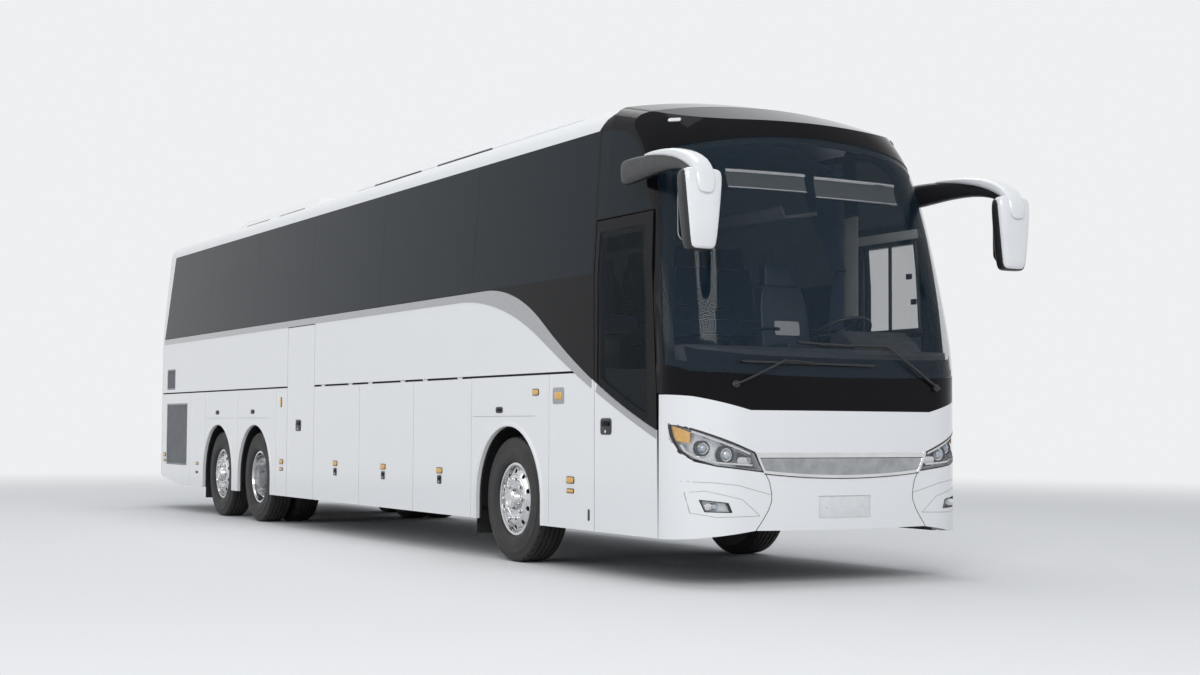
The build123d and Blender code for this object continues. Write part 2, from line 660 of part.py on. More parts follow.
save("rear_window", tail_glass_skin & rear_glass_prism)
save("rear_lamps", tail_skin & rear_lamp_prism)

# Doors

door_slab = side_slab(DOOR_ZONE_REAR_X, DOOR_ZONE_FRONT_X, SKIRT_Z, DOOR_TOP_Z) & door_prism(0, 100)
door_band = along_x(polygon([(-HALF_WIDTH, BELT_Z), (-SHOULDER_Y, SHOULDER_Z),
                             (-SHOULDER_Y + WALL, SHOULDER_Z),
                             (-HALF_WIDTH + WALL, BELT_Z)]), DOOR_ZONE_REAR_X, DOOR_ZONE_FRONT_X)
door_low_zone = block(DOOR_ZONE_REAR_X, DOOR_ZONE_FRONT_X, -REACH_Y, 0, 0, BELT_Z)
door_high_zone = block(DOOR_ZONE_REAR_X, DOOR_ZONE_FRONT_X, -REACH_Y, 0, BELT_Z, DOOR_TOP_Z)
door_body = (door_slab & door_low_zone) + (door_band & door_prism(0, 100) & door_high_zone)
door_glass_outline = [(5425, 1180), (5400, 2610), (6085, 2610), (6160, 2050), (6180, 1180)]
door_sight_outline = [(5465, 1230), (5442, 2565), (6045, 2565), (6118, 2050), (6138, 1230)]
door_glass_prism = along_y(polygon(door_glass_outline), -SIDE_OUT, -SIDE_IN) & stripe_side(STRIPE_HIGH,
                                                                                           BLACK_START_X,
                                                                                           3000)
door_sight_prism = along_y(polygon(door_sight_outline), -SIDE_OUT,
                           -SIDE_IN) & (Pos(0, 0, 60) * stripe_side(STRIPE_HIGH, BLACK_START_X, 3000))
rebate_zone = block(DOOR_ZONE_REAR_X, DOOR_ZONE_FRONT_X, -HALF_WIDTH, -HALF_WIDTH + GLASS + GLASS_FIT, 0,
                    BELT_Z)
rebate_zone = rebate_zone + band_slab(0, GLASS + GLASS_FIT, DOOR_ZONE_REAR_X, DOOR_ZONE_FRONT_X)
glass_zone = block(DOOR_ZONE_REAR_X, DOOR_ZONE_FRONT_X, -HALF_WIDTH, -HALF_WIDTH + GLASS, 0,
                   BELT_Z) + band_slab(0, GLASS, DOOR_ZONE_REAR_X, DOOR_ZONE_FRONT_X)
door_body = door_body - (rebate_zone & door_glass_prism) - door_sight_prism

# Door gear: a post with two arms, and the lugs and pins that the arms carry the door by

def door_arms(post_x, pin_x, foot_z, top_z, arm_lows):
    """A turning post with an arm to the door at each height."""
    gear = rod_z(post_x, -POST_Y, foot_z, top_z, POST_RADIUS)
    for low in arm_lows:
        bar = polygon([(post_x, -POST_Y - 12), (pin_x, -PIN_Y - 12), (pin_x, -PIN_Y + 12),
                       (post_x, -POST_Y + 12)])
        arm = along_z(bar, low, low + ARM_HIGH) + rod_z(pin_x, -PIN_Y, low, low + ARM_HIGH, EYE_RADIUS)
        gear = gear + arm
    for low in arm_lows:
        gear = gear - rod_z(pin_x, -PIN_Y, low - 5, low + ARM_HIGH + 5, PIN_RADIUS + RUNNING_FIT)
    return gear


def door_lugs(pin_x, arm_lows):
    """The forks and pins on a door's inner face."""
    lugs = []
    for low in arm_lows:
        middle = low + ARM_HIGH / 2
        inner = -side_y(middle, WALL)
        fork = block(pin_x - LUG_HALF, pin_x + LUG_HALF, inner - 10, -PIN_Y + LUG_HALF, low - LUG_FIT
                     - LUG_HIGH,
                     low + ARM_HIGH + LUG_FIT + LUG_HIGH)
        slot = block(pin_x - 60, pin_x + 60, -PIN_Y - 46, -PIN_Y + 60, low - LUG_FIT, low + ARM_HIGH
                     + LUG_FIT)
        lugs.append(fork - slot
                    + rod_z(pin_x, -PIN_Y, low - LUG_HIGH, low + ARM_HIGH + LUG_HIGH, PIN_RADIUS))
    return lugs


door_lower = door_body - black_region - block(5000, 6500, -REACH_Y, 0, 2400, 3000)
door_upper = door_body & (black_region + block(5000, 6500, -REACH_Y, 0, 2400, 3000))
front_lugs = door_lugs(FRONT_PIN_X, FRONT_ARM_LOWS)
mid_lugs = door_lugs(MID_PIN_X, MID_ARM_LOWS)
save("front_door", door_lower + front_lugs[0])
save("front_door_frame", door_upper + front_lugs[1])
save("front_door_glass", glass_zone & door_glass_prism)
save("front_door_arm",
     door_arms(FRONT_POST_X, FRONT_PIN_X, STEP_Z + RUNNING_FIT, FRONT_ARM_LOWS[-1] + 60, FRONT_ARM_LOWS))
mid_slab = side_slab(MID_DOOR_REAR_X, MID_DOOR_FRONT_X, SKIRT_Z, MID_DOOR_TOP_Z)
save("mid_door", mid_slab + mid_lugs[0] + mid_lugs[1])
save("mid_door_arm",
     door_arms(MID_POST_X, MID_PIN_X, STEP_Z + RUNNING_FIT, MID_ARM_LOWS[-1] + 60, MID_ARM_LOWS))

# Locker flaps, each with two hinge eyes, and the fixed pins on the panel above


def hinge_places(rear, front):
    """Where along X a flap's two hinges are."""
    return (rear + (front - rear) / 5, front - (front - rear) / 5)


def locker_flap(rear, front):
    """A right-hand flap that hangs from its hinge line at the crease."""
    flap = side_slab(rear + FLAP_GAP / 2, front - FLAP_GAP / 2, SKIRT_Z, SKIRT_TOP)
    edge = along_x(polygon([(-HALF_WIDTH - 1, SKIRT_TOP - 5), (-HALF_WIDTH - 1, SKIRT_TOP + 1),
                            (-HALF_WIDTH + 5, SKIRT_TOP + 1)]), rear, front)
    flap = flap - edge
    for x in hinge_places(rear, front):
        half = HINGE_LENGTH / 2
        leaf = block(x - half, x + half, -FLAP_HINGE_Y - 3, -FLAP_HINGE_Y + 4, SKIRT_TOP - 8, CREASE_Z)
        eye = rod_x(-FLAP_HINGE_Y, CREASE_Z, x - half, x + half, HINGE_EYE_RADIUS)
        bore = rod_x(-FLAP_HINGE_Y, CREASE_Z, x - half - 1, x + half + 1, HINGE_PIN_RADIUS + RUNNING_FIT)
        flap = flap + leaf + eye - bore
    return flap


def hinge_mount(x):
    """The fixed pin of one hinge and the two ears that hold it."""
    half = HINGE_LENGTH / 2 + HINGE_SIDE_FIT
    ears = []
    for x0, x1 in ((x - half - EAR_LENGTH, x - half), (x + half, x + half + EAR_LENGTH)):
        ears.append(rod_x(-FLAP_HINGE_Y, CREASE_Z, x0, x1, HINGE_EYE_RADIUS))
        ears.append(block(x0, x1, -FLAP_HINGE_Y - 3, -FLAP_HINGE_Y + 6, CREASE_Z, BAND_LOW + 2))
    pin = rod_x(-FLAP_HINGE_Y, CREASE_Z, x - half - EAR_LENGTH, x + half + EAR_LENGTH, HINGE_PIN_RADIUS)
    return pin + ears[0] + ears[1] + ears[2] + ears[3]


hinge_mounts = []
for number, (rear, front) in enumerate(FLAP_RANGES, start=1):
    flap = locker_flap(rear, front)
    save("locker_flap_right_" + str(number), flap)
    save("locker_flap_left_" + str(number), mirrored(flap))
    hinge_mounts += [hinge_mount(x) for x in hinge_places(rear, front)]

for mount in hinge_mounts:
    right_band = right_band + mount
    left_band = left_band + mirrored(mount)
save("side_panels_right", *right_side, right_front_skirt, right_band - louvre_holes)
save("side_panels_left", *left_side, left_front_skirt, left_band - louvre_holes)

# Engine lid

lid = tail_skin & along_x(lid_outline, BEHIND_X, -6600)
lid = lid - along_y(polygon([(-7200, LID_TOP_Z - 8), (-7200, LID_TOP_Z + 1), (REAR_X + 8, LID_TOP_Z + 1),
                             (REAR_X, LID_TOP_Z - 8)]), -900, 900)
lid_mounts = []
for y in (-LID_HINGE_Y, LID_HINGE_Y):
    half = HINGE_LENGTH / 2
    lid = lid + rod_y(LID_HINGE_X, LID_HINGE_Z, y - half, y + half, HINGE_EYE_RADIUS)
    lid = lid + block(LID_HINGE_X - 4, LID_HINGE_X + 4, y - half, y + half, LID_TOP_Z - 12, LID_HINGE_Z)
    lid = lid - rod_y(LID_HINGE_X, LID_HINGE_Z, y - half - 1, y + half + 1, HINGE_PIN_RADIUS + RUNNING_FIT)
    outer = half + HINGE_SIDE_FIT
    lid_mounts.append(rod_y(LID_HINGE_X, LID_HINGE_Z, y - outer - EAR_LENGTH, y + outer + EAR_LENGTH,
                            HINGE_PIN_RADIUS))
    for y0, y1 in ((y - outer - EAR_LENGTH, y - outer), (y + outer, y + outer + EAR_LENGTH)):
        lid_mounts.append(rod_y(LID_HINGE_X, LID_HINGE_Z, y0, y1, HINGE_EYE_RADIUS))
        lid_mounts.append(block(LID_HINGE_X - 4, LID_HINGE_X + 5, y0, y1, LID_HINGE_Z, LID_HOLE_TOP_Z + 2))
for mount in lid_mounts:
    rear_wall = rear_wall + mount
save("engine_lid", lid)
save("rear_wall", rear_wall)

# Floors and stairs

deck = block(DECK_CORNER_X, CAB_FLOOR_X, WALL - HALF_WIDTH, HALF_WIDTH - WALL, DECK_LOW_Z, DECK_HIGH_Z)
deck_tail = tail_inner & block(-7300, DECK_CORNER_X, -INNER_REACH_Y, INNER_REACH_Y, DECK_LOW_Z, DECK_HIGH_Z)
deck_tail = deck_tail - block(-7300, -7060, -885, 885, DECK_LOW_Z, DECK_HIGH_Z)
deck = deck + deck_tail
flap_rear = FLAP_RANGES[0][0] - 20
flap_front = FLAP_RANGES[-1][1] + 10
edge_clear = block(flap_rear, flap_front, -INNER_REACH_Y, -HALF_WIDTH + WALL + LID_CLEAR, DECK_LOW_Z - 1,
                   BAND_LOW - 4)
deck = deck - edge_clear - mirrored(edge_clear)
deck = deck - block(MID_WELL_REAR_X - SEAM, MID_WELL_FRONT_X + SEAM, -INNER_REACH_Y, MID_STAIR_Y,
                    DECK_LOW_Z - 1, DECK_HIGH_Z + 1)
cab_floor = nose_inner & block(CAB_REAR_X, 6700, -INNER_REACH_Y, INNER_REACH_Y, CAB_FLOOR_LOW_Z,
                               CAB_FLOOR_HIGH_Z)
cab_floor = cab_floor + block(CAB_FLOOR_X, CAB_REAR_X, WALL - HALF_WIDTH, HALF_WIDTH - WALL,
                              CAB_FLOOR_LOW_Z, CAB_FLOOR_HIGH_Z)
cab_floor = cab_floor - block(5370, 6340, -INNER_REACH_Y, FRONT_STAIR_Y, 1000, 1300)
riser = block(CAB_FLOOR_X, CAB_FLOOR_X + BULKHEAD, WALL - HALF_WIDTH, HALF_WIDTH - WALL, CAB_FLOOR_HIGH_Z,
              DECK_HIGH_Z)
aisle_step = block(CAB_FLOOR_X + BULKHEAD, 5020, -330, 330, CAB_FLOOR_HIGH_Z, 1400)
front_stairs = along_x(polygon([(-1205, STEP_Z), (-930, STEP_Z), (-930, 680), (-640, 680), (-640, 940),
                                (-360, 940),
                                (-360, 1200), (-330, 1200), (-330, 910), (-610, 910), (-610, 650),
                                (-900, 650),
                                (-900, 385), (-1205, 385)]), 5374, 6326)
mid_stairs = along_x(polygon([(-1205, STEP_Z), (-1010, STEP_Z), (-1010, 710), (-840, 710), (-840, 1005),
                              (-670, 1005),
                              (-670, 1300), (-500, 1300), (-500, 1600), (-480, 1600), (-480, 1270),
                              (-650, 1270),
                              (-650, 975), (-820, 975), (-820, 680), (-990, 680), (-990, 385),
                              (-1205, 385)]),
                     MID_WELL_REAR_X, MID_WELL_FRONT_X)
save("floor_deck", deck + riser, cab_floor + aisle_step + front_stairs, mid_stairs)

# Luggage bays

bay_half = HALF_WIDTH - WALL - LID_CLEAR
bay_floor = block(BAY_REAR_X, BAY_FRONT_X, -bay_half, bay_half, BAY_FLOOR_LOW_Z, BAY_FLOOR_HIGH_Z)
bay_floor = bay_floor - block(-1700, -825, -INNER_REACH_Y, MID_STAIR_Y, 300, 400)
bays = bay_floor
for x in (-2070, -810, 520, 1900, 3180):
    bays = bays + block(x - BULKHEAD / 2, x + BULKHEAD / 2, -bay_half, bay_half, BAY_FLOOR_HIGH_Z,
                        DECK_LOW_Z)
save("luggage_bays", bays)

# Chassis, engine and mudflaps

front_rails = block(BAY_FRONT_X, 6410, RAIL_IN_Y, RAIL_OUT_Y, RAIL_LOW_Z, RAIL_HIGH_Z)
rear_rails = block(-6700, BAY_REAR_X, RAIL_IN_Y, RAIL_OUT_Y, RAIL_LOW_Z, RAIL_HIGH_Z)
posts = []
for x in (3400, 4400, 5200, 6350):
    top = DECK_LOW_Z if x < CAB_FLOOR_X else CAB_FLOOR_LOW_Z
    posts.append(block(x, x + POST_WIDTH, RAIL_IN_Y, RAIL_OUT_Y, RAIL_HIGH_Z, top))
for x in (-6600, -5200, -4955, -3600, -2400):
    posts.append(block(x, x + POST_WIDTH, RAIL_IN_Y, RAIL_OUT_Y, RAIL_HIGH_Z, DECK_LOW_Z))
half_frame = front_rails + posts[0] + posts[1] + posts[2] + posts[3]
half_rear = rear_rails + posts[4] + posts[5] + posts[6] + posts[7] + posts[8]
ties = [block(x, x + POST_WIDTH, -RAIL_IN_Y, RAIL_IN_Y, RAIL_LOW_Z + TIE_INSET, RAIL_HIGH_Z
              - TIE_INSET) for x in (3400, 5200, 6350)]
rear_ties = [block(x, x + POST_WIDTH, -RAIL_IN_Y, RAIL_IN_Y, RAIL_LOW_Z + TIE_INSET, RAIL_HIGH_Z
                   - TIE_INSET) for x in (-5200, -3600, -2150)]
front_frame = half_frame + mirrored(half_frame) + ties[0] + ties[1] + ties[2]
tow_lug = block(6400, 6650, -485, -375, 795, 825) - rod_z(6600, -430, 790, 830, TOW_EYE_RADIUS)
front_frame = front_frame + tow_lug
rear_frame = half_rear + mirrored(half_rear) + rear_ties[0] + rear_ties[1] + rear_ties[2]
save("chassis_frame", front_frame, rear_frame)
engine = block(-6650, -5450, -RAIL_IN_Y, RAIL_IN_Y, 560, 1330)
save("engine_block", engine)
front_flap = block(BAY_FRONT_X, BAY_FRONT_X + FLAP_THICK, 930, 1222, 200, 620)
tag_flap = block(TAG_FLAP_X, TAG_FLAP_X + FLAP_THICK, 930, 1222, 200, 620)
tag_hanger = block(TAG_FLAP_X, TAG_FLAP_X + FLAP_THICK, 460, 1222, 620, 760)
save("mudflaps", front_flap, mirrored(front_flap), tag_flap + tag_hanger, mirrored(tag_flap + tag_hanger))

# Axles

beam_points = [(KINGPIN_Y, AXLE_Z - 45), (900, AXLE_Z - 45), (700, AXLE_Z - 150), (-700, AXLE_Z - 150),
               (-900, AXLE_Z - 45), (-KINGPIN_Y, AXLE_Z - 45), (-KINGPIN_Y, AXLE_Z + 45),
               (-900, AXLE_Z + 45),
               (-700, AXLE_Z - 50), (700, AXLE_Z - 50), (900, AXLE_Z + 45), (KINGPIN_Y, AXLE_Z + 45)]
front_beam = along_x(polygon(beam_points), FRONT_AXLE_X - 45, FRONT_AXLE_X + 45)
for y in (-KINGPIN_Y, KINGPIN_Y):
    front_beam = front_beam + rod_z(FRONT_AXLE_X, y, AXLE_Z - 45, AXLE_Z + 45, 50)
    front_beam = front_beam - rod_z(FRONT_AXLE_X, y, AXLE_Z - 60, AXLE_Z + 60, KINGPIN_RADIUS + RUNNING_FIT)


def bellows(x, y, low_z):
    """One air spring between an axle and its rail."""
    return rod_z(x, y, low_z, RAIL_LOW_Z, 110)


spring_y = (RAIL_IN_Y + RAIL_OUT_Y) / 2
for way in (-1, 1):
    front_beam = front_beam + rod_z(FRONT_AXLE_X, way * JACK_PAD_Y, AXLE_Z - 170, AXLE_Z - 140, 40)
    front_beam = front_beam + bellows(FRONT_AXLE_X, way * spring_y, AXLE_Z - 100)
drive_housing = rod_y(DRIVE_AXLE_X, AXLE_Z, -1030, 1030, DRIVE_TUBE_RADIUS)
drive_housing = drive_housing + rod_y(DRIVE_AXLE_X, AXLE_Z, -560, 560, 100)
bowl = revolve(polygon([(0, -260), (130, -260), (230, -120), (230, 120), (130, 260), (0, 260)]), Axis.Y,
               360)
drive_housing = drive_housing + Pos(DRIVE_AXLE_X, 0, AXLE_Z) * bowl
tag_beam = rod_y(TAG_AXLE_X, AXLE_Z, -1150, 1150, SPINDLE_RADIUS) + rod_y(TAG_AXLE_X, AXLE_Z, -940, 940, 70)
for way in (-1, 1):
    drive_housing = drive_housing + bellows(DRIVE_AXLE_X, way * spring_y, AXLE_Z + 30)
    tag_beam = tag_beam + bellows(TAG_AXLE_X, way * spring_y, AXLE_Z + 20)
save("axle_beams", front_beam, drive_housing, tag_beam)

knuckle = block(FRONT_AXLE_X - KNUCKLE_HALF_X, FRONT_AXLE_X + KNUCKLE_HALF_X, -KINGPIN_Y - 75, -KINGPIN_Y
                + 45, AXLE_Z - KNUCKLE_HALF_Z, AXLE_Z - 46)
knuckle = knuckle + block(FRONT_AXLE_X - KNUCKLE_HALF_X, FRONT_AXLE_X + KNUCKLE_HALF_X, -KINGPIN_Y - 75,
                          -KINGPIN_Y + 45, AXLE_Z + 46, AXLE_Z + KNUCKLE_HALF_Z)
knuckle = knuckle + block(FRONT_AXLE_X - KNUCKLE_HALF_X, FRONT_AXLE_X + KNUCKLE_HALF_X, -KINGPIN_Y - 90,
                          -KINGPIN_Y - 58, AXLE_Z - KNUCKLE_HALF_Z, AXLE_Z + KNUCKLE_HALF_Z)
knuckle = knuckle + rod_z(FRONT_AXLE_X, -KINGPIN_Y, AXLE_Z - KNUCKLE_HALF_Z, AXLE_Z + KNUCKLE_HALF_Z,
                          KINGPIN_RADIUS)
knuckle = knuckle + rod_y(FRONT_AXLE_X, AXLE_Z, -KINGPIN_Y - 200, -KINGPIN_Y - 80, SPINDLE_RADIUS)
save("knuckle_right", knuckle)
save("knuckle_left", mirrored(knuckle))

# Tyres and rims, made about the Y axis with their outer side towards -Y

tyre_half = TYRE_WIDTH / 2
bead = RIM_RADIUS + TYRE_FIT


def tyre():
    """A tyre's ring."""
    edges = [
        Line((bead, -tyre_half + 42), (bead + 20, -tyre_half + 42)),
        Line((bead + 20, -tyre_half + 42), (bead + 24, -tyre_half + 20)),
        ThreePointArc((bead + 24, -tyre_half + 20), (bead + 95, -tyre_half),
                      (TYRE_RADIUS - 22, -tyre_half + 17)),
        Line((TYRE_RADIUS - 22, -tyre_half + 17), (TYRE_RADIUS, -tyre_half + 34)),
        Line((TYRE_RADIUS, -tyre_half + 34), (TYRE_RADIUS, tyre_half - 34)),
        Line((TYRE_RADIUS, tyre_half - 34), (TYRE_RADIUS - 22, tyre_half - 17)),
        ThreePointArc((TYRE_RADIUS - 22, tyre_half - 17), (bead + 95, tyre_half),
                      (bead + 24, tyre_half - 20)),
        Line((bead + 24, tyre_half - 20), (bead + 20, tyre_half - 42)),
        Line((bead + 20, tyre_half - 42), (bead, tyre_half - 42)),
        Line((bead, tyre_half - 42), (bead, -tyre_half + 42)),
    ]
    return revolve(make_face(edges), Axis.Y, 360)


def barrel():
    """A rim's barrel with a flange at each side."""
    lip = tyre_half - 42
    half = polygon([(RIM_RADIUS, 0), (RIM_RADIUS, -lip - 1), (RIM_RADIUS + 18, -lip - 1),
                    (RIM_RADIUS + 18, -lip - 9),
                    (RIM_RADIUS - 6, -lip - 9), (RIM_RADIUS - 12, -lip + 10), (RIM_RADIUS - 12, 0)])
    whole = revolve(half, Axis.Y, 360)
    return whole + mirrored(whole)


def stud_ring(y0, y1, radius):
    """The ring of wheel nuts between two planes."""
    ring = []
    for index in range(STUD_COUNT):
        angle = 2 * pi * index / STUD_COUNT
        ring.append(rod_y(STUD_CIRCLE / 2 * cos(angle), STUD_CIRCLE / 2 * sin(angle), y0, y1, radius))
    return ring


def hand_holes(radius, y0, y1, size):
    """The ring of openings round a disc."""
    ring = []
    for index in range(STUD_COUNT):
        angle = 2 * pi * (index + 0.5) / STUD_COUNT
        ring.append(rod_y(radius * cos(angle), radius * sin(angle), y0, y1, size))
    return ring


def single_rim():
    """A front or tag rim: its disc bulges outwards and its hub covers the spindle's end."""
    disc = revolve(polygon([(RIM_RADIUS - 8, -70), (RIM_RADIUS - 8, -45), (235, -80), (205, -92),
                            (0, -92), (0, -118),
                            (205, -118), (240, -104)]), Axis.Y, 360)
    hub = revolve(polygon([(0, -170), (60, -170), (80, -160), (95, -118), (95, 5),
                           (SPINDLE_RADIUS + RUNNING_FIT, 5),
                           (SPINDLE_RADIUS + RUNNING_FIT, -102), (0, -102)]), Axis.Y, 360)
    body = barrel() + disc + hub
    body = body - revolve(polygon([(0, 60), (SPINDLE_RADIUS + RUNNING_FIT, 60),
                                   (SPINDLE_RADIUS + RUNNING_FIT, -101),
                                   (0, -101)]), Axis.Y, 360)
    for hole in hand_holes(HAND_HOLE_CIRCLE, -140, -40, HAND_HOLE_RADIUS):
        body = body - hole
    for nut in stud_ring(-150, -117, NUT_RADIUS):
        body = body + nut
    return body


def twin_rim():
    """The drive axle's pair of rims, joined by the hub that runs on the axle tube."""
    outer = Pos(0, -TWIN_SPACING / 2, 0) * barrel()
    inner = Pos(0, TWIN_SPACING / 2, 0) * barrel()
    disc = revolve(polygon([(RIM_RADIUS - 8, -110), (RIM_RADIUS - 8, -85), (215, -12), (215, 12),
                            (RIM_RADIUS - 8, 85),
                            (RIM_RADIUS - 8, 110), (190, 30), (110, 30), (110, -30), (190, -30)]), Axis.Y,
                   360)
    bore = DRIVE_TUBE_RADIUS + RUNNING_FIT
    hub = revolve(polygon([(bore, 120), (125, 120), (125, -150), (90, -165), (0, -165), (0, -115),
                           (bore, -115)]),
                  Axis.Y, 360)
    body = outer + inner + disc + hub
    for hole in hand_holes(HAND_HOLE_CIRCLE, -140, 140, HAND_HOLE_RADIUS):
        body = body - hole
    for nut in stud_ring(-62, -29, NUT_RADIUS):
        body = body + nut
    return body


single_y = WHEEL_OUTER_Y - tyre_half
twin_y = WHEEL_OUTER_Y - tyre_half - TWIN_SPACING / 2
tyre_form = tyre()
single_form = single_rim()
twin_form = twin_rim()
for side in ("right", "left"):
    for axle, x in (("front", FRONT_AXLE_X), ("tag", TAG_AXLE_X)):
        place = Pos(x, -single_y, AXLE_Z)
        turn = LEFT_WHEEL_TURN if side == "left" else 0
        shapes = (place * tyre_form, place * Rot(0, turn, 0) * single_form)
        if side == "left":
            shapes = [mirrored(shape) for shape in shapes]
        save("tyre_" + axle + "_" + side, shapes[0])
        save("rim_" + axle + "_" + side, shapes[1])
    outer_tyre = Pos(DRIVE_AXLE_X, -twin_y - TWIN_SPACING / 2, AXLE_Z) * tyre_form
    inner_tyre = Pos(DRIVE_AXLE_X, -twin_y + TWIN_SPACING / 2, AXLE_Z) * tyre_form
    rims = Pos(DRIVE_AXLE_X, -twin_y, AXLE_Z) * twin_form
    drive = (outer_tyre, inner_tyre, rims)
    if side == "left":
        drive = [mirrored(shape) for shape in drive]
    save("tyre_drive_" + side, drive[0], drive[1])
    save("rim_drive_" + side, drive[2])

# Cab and cabin

dash_side = polygon([(6235, 1200), (6195, 1560), (6235, 1700), (6560, 1715), (6900, 1640), (6900, 1200)])
dash = nose_inner & along_y(dash_side, -INNER_REACH_Y, INNER_REACH_Y)
dash = dash - block(5000, 6345, -REACH_Y, -250, 1000, 2000)
binnacle_side = polygon([(6180, 1690), (6230, 1840), (6330, 1868), (6470, 1780), (6540, 1700)])
binnacle = along_y(binnacle_side, 330, 960)
wheel_place = Pos(WHEEL_HUB_X, WHEEL_HUB_Y, WHEEL_HUB_Z) * Rot(0, WHEEL_TILT, 0)
column = wheel_place * Pos(0, 0, -330) * Cylinder(35, 580)
column = column + wheel_place * Pos(0, 0, -35) * Cylinder(12, 30)
save("dashboard", dash + binnacle + column)
hand_wheel = Torus(225, 15) + Pos(0, 0, -12) * Cylinder(60, 40)
hand_wheel = hand_wheel + Box(440, 40, 14) + Pos(0, -110, 0) * Box(40, 220, 14)
hand_wheel = hand_wheel - Pos(0, 0, -35) * Cylinder(12 + RUNNING_FIT, 34)
save("steering_wheel", wheel_place * hand_wheel)


def seat(x, y0, y1, floor_z, base_z):
    """One seat with its leg, cushion, leaning back and headrest."""
    cushion = along_y(polygon([(x - 230, base_z), (x + 240, base_z), (x + 240, base_z + 100),
                               (x + 215, base_z + 125),
                               (x - 180, base_z + 105)]), y0, y1)
    back = along_y(polygon([(x - 230, base_z + 20), (x - 120, base_z + 60), (x - 230, base_z + 620),
                            (x - 250, base_z + 800), (x - 330, base_z + 800), (x - 345, base_z + 600)]),
                   y0 + 10, y1 - 10)
    leg = block(x - 150, x + 150, y0 + 90, y1 - 90, floor_z, base_z)
    return cushion + back + leg


driver = seat(5330, 400, 880, CAB_FLOOR_HIGH_Z, 1680)
save("cab_seats", driver)
rows = []
for index in range(SEAT_ROWS):
    x = FIRST_SEAT_X - SEAT_PITCH * index
    for side in (-1, 1):
        blocked = side == -1 and MID_WELL_REAR_X - 260 < x < MID_WELL_FRONT_X + 360
        if blocked:
            continue
        for place in range(2):
            near = 290 + 445 * place
            rows.append(seat(x, *(sorted((side * near, side * (near + 435)))), DECK_HIGH_Z, SEAT_BASE_Z))
save("passenger_seats", *rows)
rack = polygon([(side_y(2950, WALL), 2950), (760, 2890), (715, 2990), (735, 3000), (775, 2915),
                (side_y(2985, WALL), 2985)])
rack_left = along_x(rack, -6450, 5000)
save("luggage_racks", rack_left, mirrored(rack_left))

# Mirrors and wipers

# Along an arm: x, y, z, half the width, half the height
MIRROR_ARM = (
    (5935, 1335, 3006, 30, 55),
    (6060, 1337, 3008, 46, 80),
    (6400, 1348, 3013, 43, 60),
    (6800, 1372, 2985, 40, 48),
    (7010, 1388, 2890, 37, 38),
)
MIRROR_COVER = (
    (6240, 1345, 3076, 20, 6),
    (6520, 1355, 3070, 56, 20),
    (6850, 1374, 3020, 70, 27),
    (7070, 1390, 2910, 79, 27),
    (7138, 1392, 2780, 80, 18),
    (7140, 1392, 2700, 56, 8),
)
# Up a head: z, half the width, half the depth
MIRROR_HEAD = ((2330, 85, 36), (2400, 112, 57), (2740, 148, 62), (2885, 118, 34))
MIRROR_HEAD_X = 7066
MIRROR_HEAD_Y = 1392


def bent_bar(stations):
    """A bar of oval sections along a line that bends in the side view."""
    sections = []
    for index, (x, y, z, half_width, half_height) in enumerate(stations):
        before = stations[max(index - 1, 0)]
        after = stations[min(index + 1, len(stations) - 1)]
        heading = (after[0] - before[0], 0, after[2] - before[2])
        sections.append(Plane(origin=(x, y, z), x_dir=(0, 1, 0), z_dir=heading) * Ellipse(half_width,
                                                                                          half_height))
    return loft(sections)


mirror_cover = bent_bar(MIRROR_COVER)
head_sections = []
for z, half_width, half_depth in MIRROR_HEAD:
    outline = RectangleRounded(2 * half_depth, 2 * half_width, 0.8 * half_depth)
    head_sections.append(Pos(MIRROR_HEAD_X, MIRROR_HEAD_Y, z) * outline)
head_left = loft(head_sections) + mirror_cover
mirror_foot = block(6090, 6175, 1150, 1345, 2890, 2990) - nose_outer
arm_left = bent_bar(MIRROR_ARM) + mirror_foot - head_left
save("mirror_arms", arm_left, mirrored(arm_left))
save("mirror_heads", head_left, mirrored(head_left))
wiper_near = nose_envelope(-1)
wiper_mid = nose_envelope(-14)
wiper_far = nose_envelope(-30)
blade_skin = wiper_mid - wiper_near
arm_skin = wiper_far - nose_envelope(-11)


def bar(y0, z0, y1, z1, width):
    """A straight bar between two points of the front view."""
    length = ((y1 - y0) ** 2 + (z1 - z0) ** 2) ** 0.5
    ny = -(z1 - z0) / length * width / 2
    nz = (y1 - y0) / length * width / 2
    return along_x(polygon([(y0 + ny, z0 + nz), (y1 + ny, z1 + nz), (y1 - ny, z1 - nz),
                            (y0 - ny, z0 - nz)]), 6300, AHEAD_X)


right_blade = blade_skin & bar(-880, 1595, 270, 1586, 22)
right_arm = arm_skin & (bar(-930, WIPER_PIVOT_Z, -529, 1608, 26) + bar(-540, 1604, -250, 1596, 20))
left_blade = blade_skin & bar(-400, 1742, 580, 1712, 22)
left_arm = arm_skin & (bar(850, WIPER_PIVOT_Z, 397, 1730, 26) + bar(405, 1726, 100, 1728, 20))
pivots = [rod_x(y, WIPER_PIVOT_Z, 6600, 6900, 20) & (wiper_far - nose_outer) for y in (-930, 850)]
save("wipers", right_blade + right_arm + pivots[0], left_blade + left_arm + pivots[1])


def louvre(x0, x1, z0, z1, pitch):
    """A framed grille of upright slats, in the side wall's thickness."""
    frame = block(x0, x1, -HALF_WIDTH + 4, -HALF_WIDTH + 34, z0, z1)
    frame = frame - block(x0 + 24, x1 - 24, -HALF_WIDTH - 5, -HALF_WIDTH + 60, z0 + 24, z1 - 24)
    count = int((x1 - x0 - 48) / pitch)
    for index in range(count):
        x = x0 + 24 + (index + 0.5) * (x1 - x0 - 48) / count
        frame = frame + block(x - 8, x + 8, -HALF_WIDTH + 10, -HALF_WIDTH + 28, z0 + 20, z1 - 20)
    return frame


